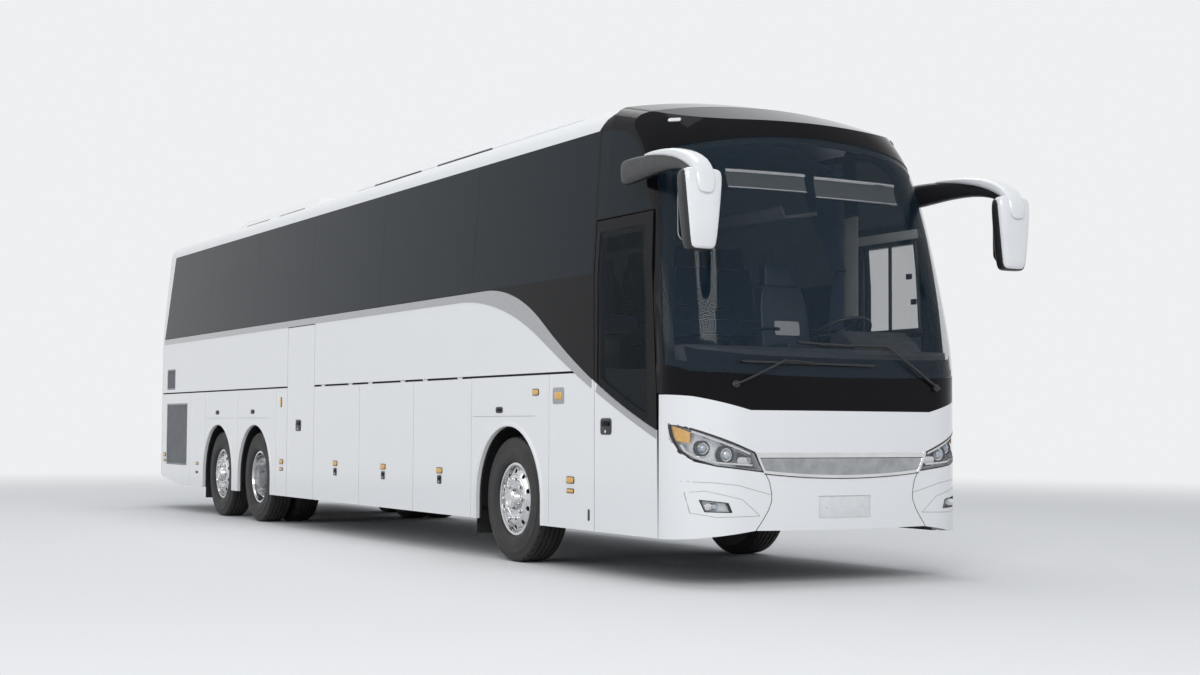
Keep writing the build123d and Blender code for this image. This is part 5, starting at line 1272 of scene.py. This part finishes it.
class COACH_OT_cab(bpy.types.Operator):
    """Make the steering wheel, the driver's window frame, the curtain and the cab's linings"""

    bl_idname = "coach.cab"
    bl_label = "Cab"

    def execute(self, context):
        made = finishes()
        self.steering_wheel(made)
        self.curtain(made)
        self.window_frame(made)
        self.linings(made)
        return {"FINISHED"}

    def steering_wheel(self, made):
        bm = bmesh.new()
        spot = Matrix.Translation((5.960, 0.640, 1.880)) @ Matrix.Rotation(-28 * pi / 180, 4, "Y")
        ring = [(0.225 + 0.0150 * cos(2 * pi * step / 12), 0.0150
                 * sin(2 * pi * step / 12)) for step in range(12)]
        place(bm, lathe(ring, 72, closed=True), spot)
        hub = [(0.050, -0.032), (0.060, -0.020), (0.062, -0.004), (0.052, 0.008), (0.030, 0.011),
               (0.0, 0.012)]
        place(bm, lathe(hub, 40), spot)
        for angle in (0.30, pi - 0.30, -pi / 2):
            line = [(0.040 * cos(angle + pi / 2), 0.040 * sin(angle + pi / 2), -0.006),
                    (0.130 * cos(angle + pi / 2), 0.130 * sin(angle + pi / 2), -0.010),
                    (0.222 * cos(angle + pi / 2), 0.222 * sin(angle + pi / 2), 0.000)]
            place(bm, tube(line, 0.011, 3), spot)
        piece = finish_mesh("hand_wheel_rim", bm, "hand_wheel", [made["plastic"]])
        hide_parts("steering_wheel")

    def curtain(self, made):
        bm = bmesh.new()
        columns = CURTAIN_FOLDS * 8
        rows = []
        for z, start, end, out in curtain_rows():
            half_fold = CURTAIN_WIDTH / (2 * CURTAIN_FOLDS)
            swing = 0.5 * sqrt(half_fold ** 2 - ((end - start) / (2 * CURTAIN_FOLDS)) ** 2) * 0.95
            row = []
            for column in range(columns + 1):
                wave = 2 * pi * CURTAIN_FOLDS * column / columns
                drift = 0.004 * sin(5.1 * z + 0.35 * column)
                row.append(bm.verts.new((start + (end - start) * column / columns + drift, out + swing
                                         * sin(wave), z)))
            rows.append(row)
        for upper, lower in zip(rows, rows[1:]):
            for column in range(columns):
                bm.faces.new((upper[column], upper[column + 1], lower[column + 1], lower[column]))
        cloth = finish_mesh("driver_curtain", bm, "coach", [made["fabric"]])
        tie = bmesh.new()
        loop = [(0.064 * cos(pi * step / 8), 0.040 * sin(pi * step / 8)) for step in range(16)]
        band = [(5.260 + x, 1.130 + y, 2.440 + 0.02 * x) for x, y in loop]
        place(tie, tube(band + band[:1], 0.010, 2))
        rail = [(4.640, 1.100, 3.385), (4.900, 1.100, 3.385), (5.270, 1.100, 3.385)]
        place(tie, tube(rail, 0.009, 3))
        holder = finish_mesh("curtain_tie", tie, "coach", [made["plastic"]])

    def window_frame(self, made):
        bm = bmesh.new()
        for place_at, size in (((5.860, 1.212, 1.905), (0.760, 0.024, 0.040)),
                               ((5.835, 1.190, 2.618), (0.740, 0.024, 0.034)),
                               ((5.497, 1.202, 2.262), (0.036, 0.024, 0.740)),
                               ((5.857, 1.200, 2.262), (0.024, 0.024, 0.700)),
                               ((6.107, 1.188, 2.338), (0.060, 0.020, 0.045)),
                               ((6.155, 1.196, 2.135), (0.060, 0.020, 0.045)),
                               ((5.560, 1.190, 2.560), (0.050, 0.020, 0.045))):
            place(bm, box(size, 0.006, 2), Matrix.Translation(place_at))
        place(bm, tube([(6.218, 1.210, 1.895), (6.205, 1.200, 2.250), (6.190, 1.190, 2.620)], 0.014, 3))
        finish_mesh("driver_window_frame", bm, "coach", [made["plastic"]])

    def linings(self, made):
        bm = bmesh.new()
        place(bm, box((0.215, 0.012, 0.860), 0.005, 2), Matrix.Translation((5.352, 1.182, 2.460)), 0)
        place(bm, box((0.860, 0.010, 0.600), 0.004, 2), Matrix.Translation((5.790, 1.214, 1.555)), 1)
        place(bm, box((0.760, 0.012, 0.075), 0.005, 2), Matrix.Translation((5.850, 1.180, 2.672)), 0)
        # The ceiling under the roof: a real lining sheet, coloured near black as painted shade.
        ceiling = [(-1.060, 3.300), (-0.700, 3.420), (-0.300, 3.450), (0.300, 3.450), (0.700, 3.420),
                   (1.060, 3.300)]
        shell = ceiling + [(y, z + 0.010) for y, z in reversed(ceiling)]
        place(bm, slab(shell, 11.600),
              Matrix(((0, 0, 1, -6.350), (1, 0, 0, 0), (0, 1, 0, 0), (0, 0, 0, 1))), 2)
        finish_mesh("cabin_linings", bm, "coach",
                    [made["cabin"], made["dash"], made["lining"]])


# Roof and rear

def cast(node, start, direction):
    """Where a line from a point first meets a solid of the frame, and the surface's normal there."""
    hit, where, normal, face = NODES[node].ray_cast(Vector(start), Vector(direction))
    if not hit:
        raise RuntimeError("no surface of " + node + " there")
    return where, normal


def on_solid(node, start, direction, out=0.0):
    """The place of a small shape on a solid's surface, looking away from it."""
    where, normal = cast(node, start, direction)
    return facing(where + out * normal, normal, (0, 0, 1) if abs(normal.z) < 0.9 else (1, 0, 0))


class COACH_OT_roof_fittings(bpy.types.Operator):
    """Make the slots, seams, fans and fixings of the two housings on the roof"""

    bl_idname = "coach.roof_fittings"
    bl_label = "Roof Fittings"

    def execute(self, context):
        made = finishes()
        bm = bmesh.new()
        for side, way in SIDES:
            for x, z, long in ((0.250, 3.690, 1.250), (1.900, 3.690, 1.250), (-4.350, 3.690, 0.900),
                               (-3.050, 3.690, 0.900)):
                place(bm, slab(rounded_outline(long, 0.036, 0.017), 0.004, 0.001),
                      on_solid("roof_pods", (x, 2.0 * way, z), (0, -way, 0), -0.001), 0)
            for x in (-0.700, 1.075, 2.750, -5.120, -3.700, -2.250):
                fixing = slab(rounded_outline(0.060, 0.030, 0.008), 0.008, 0.003)
                place(bm, fixing, on_solid("roof_pods", (x, 2.0 * way, 3.668), (0, -way, 0)), 0)
        for x in (1.075, 3.250, -3.700):
            for side, way in SIDES:
                where, normal = cast("roof_pods", (x, 0.3 * way, 4.5), (0, 0, -1))
                place(bm, box((0.006, 0.660, 0.002)),
                      Matrix.Translation((x, 0.330 * way, where.z + 0.0006)), 1)
        for x in (-0.350, 0.550, 1.700, 2.600, -4.700, -4.100, -3.300, -2.700):
            spot = on_solid("roof_pods", (x, 0.0, 4.5), (0, 0, -1))
            ring = [(0.180, 0.0), (0.190, 0.010), (0.205, 0.014), (0.220, 0.010), (0.226, 0.0)]
            place(bm, lathe(ring, 48), spot, 1)
            place(bm, lathe([(0.185, 0.001), (0.185, 0.003), (0.0, 0.003)], 48), spot, 0)
            for radius in (0.060, 0.100, 0.140):
                circle = [(radius, 0.003), (radius + 0.003, 0.007), (radius + 0.006, 0.003)]
                place(bm, lathe(circle, 40), spot, 2)
            for index in range(6):
                angle = pi * index / 6
                bar = box((0.370, 0.006, 0.004))
                place(bm, bar, spot @ Matrix.Translation((0, 0, 0.006)) @ Matrix.Rotation(angle, 4, "Z"), 2)
        finish_mesh("roof_fittings", bm, "coach",
                    [made["plastic"], made["crease"], made["louvre"]])
        return {"FINISHED"}


class COACH_OT_rear_fittings(bpy.types.Operator):
    """Make the rear lamps' lenses, the lid's slats, the stop lamp, the blank plate and the handle"""

    bl_idname = "coach.rear_fittings"
    bl_label = "Rear Fittings"

    def execute(self, context):
        made = finishes()
        bm, lid = bmesh.new(), bmesh.new()
        for side, way in SIDES:
            for z, kind in ((1.400, 1), (1.250, 2), (1.100, 0), (0.960, 3)):
                spot = on_solid("rear_lamps", (-9.0, 1.090 * way, z), (1, 0, 0))
                ring = [(0.048, 0.0), (0.049, 0.006), (0.055, 0.009), (0.062, 0.006), (0.064, 0.0)]
                place(bm, lathe(ring, 40), spot, 0)
                place(bm, lathe([(0.047, 0.0), (0.045, 0.006), (0.028, 0.012), (0.0, 0.014)], 40), spot,
                      (3, 1, 2, 3)[kind])
            spot = on_solid("rear_wall", (-9.0, 0.980 * way, 0.560), (1, 0, 0))
            place(bm, slab(rounded_outline(0.110, 0.045, 0.018), 0.008, 0.003), spot, 1)
        spot = on_solid("rear_wall", (-9.0, 0.0, 2.380), (1, 0, 0))
        place(bm, slab(rounded_outline(0.520, 0.034, 0.014), 0.010, 0.004), spot, 1)
        spot = on_solid("rear_wall", (-9.0, 0.0, 0.590), (1, 0, 0))
        place(bm, slab(rounded_outline(0.560, 0.170, 0.016), 0.004, 0.002), spot, 4)
        place(bm, slab(rounded_outline(0.520, 0.120, 0.010), 0.007, 0.001), spot, 5)
        for index in range(9):
            z = 1.000 + 0.062 * index
            for y in (-0.42, 0.42):
                spot = on_solid("engine_lid", (-9.0, y, z), (1, 0, 0))
                slat = slab(rounded_outline(0.620, 0.034, 0.010), 0.008, 0.004)
                place(lid, slat, spot, 0)
        spot = on_solid("engine_lid", (-9.0, 0.0, 0.840), (1, 0, 0))
        place(lid, slab(rounded_outline(0.180, 0.050, 0.020), 0.016, 0.006), spot, 1)
        finish_mesh("rear_fittings", bm, "coach",
                    [made["chrome"], made["red_lens"], made["amber"], made["lens"], made["plastic"],
                     made["plate"]])
        finish_mesh("engine_lid_slats", lid, "engine_door",
                    [made["louvre"], made["plastic"]])
        return {"FINISHED"}


# Camera and lamps

# Name, place, what it looks at, width and height, power in watts
STUDIO_LAMPS = (
    ("key_lamp", (19.0, -10.0, 11.0), (2.0, 0.0, 1.5), (10.0, 8.0), 1500.0),
    ("top_lamp", (-1.0, 0.0, 14.0), (-1.0, 0.0, 0.0), (16.0, 8.0), 700.0),
    ("side_lamp", (-8.0, -20.0, 8.0), (-1.0, 0.0, 1.5), (14.0, 8.0), 420.0),
)
FLOOR_HALF = 400.0
SENSOR_WIDTH = 36.0
VIEW_REACH = 500.0
WORLD_COLOUR = (0.90, 0.94, 1.0, 1.0)
WORLD_STRENGTH = 0.55


def aim_camera(camera):
    """Place the camera as the photograph has it."""
    yaw, pitch, roll = 0.510893, 0.052081, 0.005725
    look = Vector((-cos(yaw) * cos(pitch), sin(yaw) * cos(pitch), sin(pitch)))
    right = look.cross(Vector((0, 0, 1))).normalized()
    up = right.cross(look)
    level_right = cos(roll) * right + sin(roll) * up
    level_up = cos(roll) * up - sin(roll) * right
    matrix = Matrix((level_right, level_up, -look)).transposed().to_4x4()
    matrix.translation = Vector((16.902, -7.686, 1.121))
    camera.matrix_world = matrix


def softbox(name, place, target, size, power, colour=(1.0, 1.0, 1.0)):
    """A square lamp that faces a point."""
    data = bpy.data.lights.new(name, "AREA")
    data.shape = "RECTANGLE"
    data.size, data.size_y = size
    data.energy = power
    data.color = colour
    lamp = bpy.data.objects.new(name, data)
    bpy.context.scene.collection.objects.link(lamp)
    lamp.location = place
    lamp.rotation_euler = (Vector(target) - Vector(place)).to_track_quat("-Z", "Y").to_euler()
    return lamp


# Operators

class COACH_OT_finishes(bpy.types.Operator):
    """Give every solid of the frame its finish"""

    bl_idname = "coach.finishes"
    bl_label = "Body Finishes"

    def execute(self, context):
        made = finishes()
        for key, names in CAD_FINISHES.items():
            for name in names:
                NODES[name].data.materials.clear()
                NODES[name].data.materials.append(made[key])
        for name, node in NODES.items():
            if name.startswith("rim_"):
                node.data.materials.clear()
                node.data.materials.append(made["alloy"])
            elif name.startswith("locker_flap"):
                node.data.materials.clear()
                node.data.materials.append(made["panel"])
            elif name.startswith("tyre_"):
                node.data.materials.clear()
                node.data.materials.append(made["tyre"])
        return {"FINISHED"}


class COACH_OT_tyres(bpy.types.Operator):
    """Make the six tyres and twin tyres with their tread"""

    bl_idname = "coach.tyres"
    bl_label = "Tyres"

    def execute(self, context):
        settings = context.scene.coach_tyres
        material = finishes()["tyre"]
        twin = (TWIN_Y - TWIN_SPACING / 2, TWIN_Y + TWIN_SPACING / 2)
        for side, way in SIDES:
            for axle, x, places in (("front", FRONT_AXLE_X, (SINGLE_Y,)), ("drive", DRIVE_AXLE_X, twin),
                                    ("tag", TAG_AXLE_X, (SINGLE_Y,))):
                name = "tread_" + axle + "_" + side
                make_tyre(name, x, [way * place for place in places], "wheel_" + axle + "_" + side,
                          ["tyre_" + axle + "_" + side], settings, material)
        return {"FINISHED"}


class COACH_OT_mirrors(bpy.types.Operator):
    """Make the two mirrors with their arms and covers"""

    bl_idname = "coach.mirrors"
    bl_label = "Mirrors"

    def execute(self, context):
        made = finishes()
        arms, heads = bmesh.new(), bmesh.new()
        for side, way in SIDES:
            place(arms, ringed(bar_rings(ARM_SECTIONS, way)))
            place(heads, ringed(bar_rings(COVER_SECTIONS, way)))
            place(heads, ringed(head_rings(way)))
            bezel = Matrix.Translation((-0.018, 0.005 * way, -0.009))
            place(heads, ringed(head_rings(way, 0.008)), bezel, 1)
            glass = slab(rounded_outline(0.235, 0.455, 0.06), 0.004, 0.002)
            spot = facing((HEAD_X - 0.0915, way * (HEAD_Y + 0.012), 2.62), (-1, 0, 0))
            place(heads, glass, spot, 2)
        for face in heads.faces:
            if face.material_index == 0 and face.normal.x < -0.75 and face.calc_center_median().z < 2.875:
                face.material_index = 1
        piece = finish_mesh("mirror_arm_pair", arms, "coach", [made["plastic"]], levels=1)
        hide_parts("mirror_arms")
        piece = finish_mesh("mirror_head_pair", heads, "coach",
                            [made["shell"], made["plastic"], made["chrome"]], levels=1)
        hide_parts("mirror_heads")
        return {"FINISHED"}


class COACH_OT_arches(bpy.types.Operator):
    """Make the lips round the wheel openings and the linings behind them"""

    bl_idname = "coach.arches"
    bl_label = "Wheel Arches"

    def execute(self, context):
        made = finishes()
        lips, linings = bmesh.new(), bmesh.new()
        edge = ARCH_RADIUS - 0.004
        lip = [(edge, -0.030), (edge, 0.004), (edge + 0.006, FLARE_OUT),
               (edge + 0.5 * FLARE_WIDTH, FLARE_OUT),
               (edge + 0.85 * FLARE_WIDTH, 0.6 * FLARE_OUT), (edge + FLARE_WIDTH, 0.0),
               (edge + FLARE_WIDTH - 0.01, -0.004),
               (edge + 0.006, -0.030)]
        lining = [(0.640, -0.055), (0.640, -0.53), (0.634, -0.53), (0.634, -0.055)]
        for side, way in SIDES:
            for axle, x in AXLES:
                spot = on_side(x, AXLE_Z, way)
                place(lips, arch_strip(lip, SKIRT_Z), spot)
                place(linings, arch_strip(lining, SKIRT_Z + 0.10), spot)
        finish_mesh("arch_lips", lips, "coach", [made["white"]])
        finish_mesh("wheel_housings", linings, "coach", [made["plastic"]])
        return {"FINISHED"}


class COACH_OT_stage(bpy.types.Operator):
    """Set out the floor, the backdrop, the lamps and the camera"""

    bl_idname = "coach.stage"
    bl_label = "Stage"

    def execute(self, context):
        scene = context.scene
        settings = scene.coach_stage
        bm = bmesh.new()
        bmesh.ops.create_grid(bm, x_segments=2, y_segments=2, size=FLOOR_HALF)
        mesh = bpy.data.meshes.new("studio_floor")
        bm.to_mesh(mesh)
        bm.free()
        ground = bpy.data.objects.new("studio_floor", mesh)
        scene.collection.objects.link(ground)
        mesh.materials.append(stage_material(tuple(settings.floor), tuple(settings.backdrop)))
        world = bpy.data.worlds.new("Studio World")
        scene.world = world
        world.use_nodes = True
        build_world(world, tuple(settings.backdrop))
        for name, place, target, size, power in STUDIO_LAMPS:
            softbox(name, place, target, size, power)
        data = bpy.data.cameras.new("photo_camera")
        data.sensor_width = SENSOR_WIDTH
        data.lens = settings.lens
        data.clip_end = VIEW_REACH
        camera = bpy.data.objects.new("photo_camera", data)
        scene.collection.objects.link(camera)
        aim_camera(camera)
        scene.camera = camera
        scene.view_settings.view_transform = "Standard"
        return {"FINISHED"}


def seen_directly(nodes, links):
    """A factor of 1 for rays from the camera, off shiny surfaces and through glass."""
    path = nodes.new("ShaderNodeLightPath")
    both = nodes.new("ShaderNodeMath")
    both.operation = "MAXIMUM"
    all_three = nodes.new("ShaderNodeMath")
    all_three.operation = "MAXIMUM"
    links.new(path.outputs["Is Camera Ray"], both.inputs[0])
    links.new(path.outputs["Is Glossy Ray"], both.inputs[1])
    links.new(both.outputs["Value"], all_three.inputs[0])
    links.new(path.outputs["Is Transmission Ray"], all_three.inputs[1])
    return all_three.outputs["Value"]


def stage_material(colour, backdrop):
    """The floor's finish: matt under the coach, turning into the pale backdrop further off."""
    material = bpy.data.materials.new("Studio Floor")
    material.use_nodes = True
    nodes, links = material.node_tree.nodes, material.node_tree.links
    shader = nodes["Principled BSDF"]
    shader.inputs["Base Color"].default_value = colour + (1.0,)
    shader.inputs["Roughness"].default_value = 0.9
    shader.inputs["Specular IOR Level"].default_value = 0.1
    far = nodes.new("ShaderNodeEmission")
    far.inputs["Color"].default_value = backdrop + (1.0,)
    place = nodes.new("ShaderNodeTexCoord")
    reach = nodes.new("ShaderNodeVectorMath")
    reach.operation = "LENGTH"
    fade = nodes.new("ShaderNodeMapRange")
    fade.interpolation_type = "SMOOTHSTEP"
    fade.inputs["From Min"].default_value = FLOOR_NEAR
    fade.inputs["From Max"].default_value = FLOOR_FAR
    factor = nodes.new("ShaderNodeMath")
    factor.operation = "MULTIPLY"
    mix = nodes.new("ShaderNodeMixShader")
    links.new(place.outputs["Object"], reach.inputs[0])
    links.new(reach.outputs["Value"], fade.inputs["Value"])
    links.new(fade.outputs["Result"], factor.inputs[0])
    links.new(seen_directly(nodes, links), factor.inputs[1])
    links.new(factor.outputs["Value"], mix.inputs["Fac"])
    links.new(shader.outputs["BSDF"], mix.inputs[1])
    links.new(far.outputs["Emission"], mix.inputs[2])
    links.new(mix.outputs["Shader"], nodes["Material Output"].inputs["Surface"])
    return material


def build_world(world, backdrop):
    """A pale world: the backdrop's colour to the camera and in reflections, and dimmer as light."""
    nodes, links = world.node_tree.nodes, world.node_tree.links
    nodes.clear()
    output = nodes.new("ShaderNodeOutputWorld")
    mix = nodes.new("ShaderNodeMixShader")
    light = nodes.new("ShaderNodeBackground")
    seen = nodes.new("ShaderNodeBackground")
    light.inputs["Color"].default_value = WORLD_COLOUR
    light.inputs["Strength"].default_value = WORLD_STRENGTH
    seen.inputs["Color"].default_value = backdrop + (1.0,)
    links.new(seen_directly(nodes, links), mix.inputs["Fac"])
    links.new(light.outputs["Background"], mix.inputs[1])
    links.new(seen.outputs["Background"], mix.inputs[2])
    links.new(mix.outputs["Shader"], output.inputs["Surface"])


class COACH_PT_pieces(bpy.types.Panel):
    """The coach's pieces, in the sidebar"""

    bl_idname = "COACH_PT_pieces"
    bl_label = "Touring Coach"
    bl_space_type = "VIEW_3D"
    bl_region_type = "UI"
    bl_category = "Coach"

    def draw(self, context):
        column = self.layout.column()
        for operator in OPERATORS:
            column.operator(operator.bl_idname)


SETTINGS = ((CoachPaint, "coach_paint"), (CoachTyres, "coach_tyres"), (CoachStage, "coach_stage"))
OPERATORS = (COACH_OT_finishes, COACH_OT_tyres, COACH_OT_mirrors, COACH_OT_arches, COACH_OT_front_lamps,
             COACH_OT_front_trim, COACH_OT_wipers, COACH_OT_wheel_trim, COACH_OT_side_fittings,
             COACH_OT_door_fittings, COACH_OT_door_stripe, COACH_OT_screen_trim, COACH_OT_seats, COACH_OT_cab,
             COACH_OT_roof_fittings, COACH_OT_rear_fittings, COACH_OT_stage)


def register():
    """Register the classes and hang the settings on the scene."""
    for settings, name in SETTINGS:
        bpy.utils.register_class(settings)
        setattr(bpy.types.Scene, name, bpy.props.PointerProperty(type=settings))
    for operator in OPERATORS:
        bpy.utils.register_class(operator)
    bpy.utils.register_class(COACH_PT_pieces)


def unregister():
    """Undo what register did."""
    bpy.utils.unregister_class(COACH_PT_pieces)
    for operator in reversed(OPERATORS):
        bpy.utils.unregister_class(operator)
    for settings, name in reversed(SETTINGS):
        delattr(bpy.types.Scene, name)
        bpy.utils.unregister_class(settings)


def main():
    """Dress the coach, piece by piece."""
    register()
    for operator in OPERATORS:
        group, name = operator.bl_idname.split(".")
        getattr(getattr(bpy.ops, group), name)()


if __name__ == "__main__":
    main()
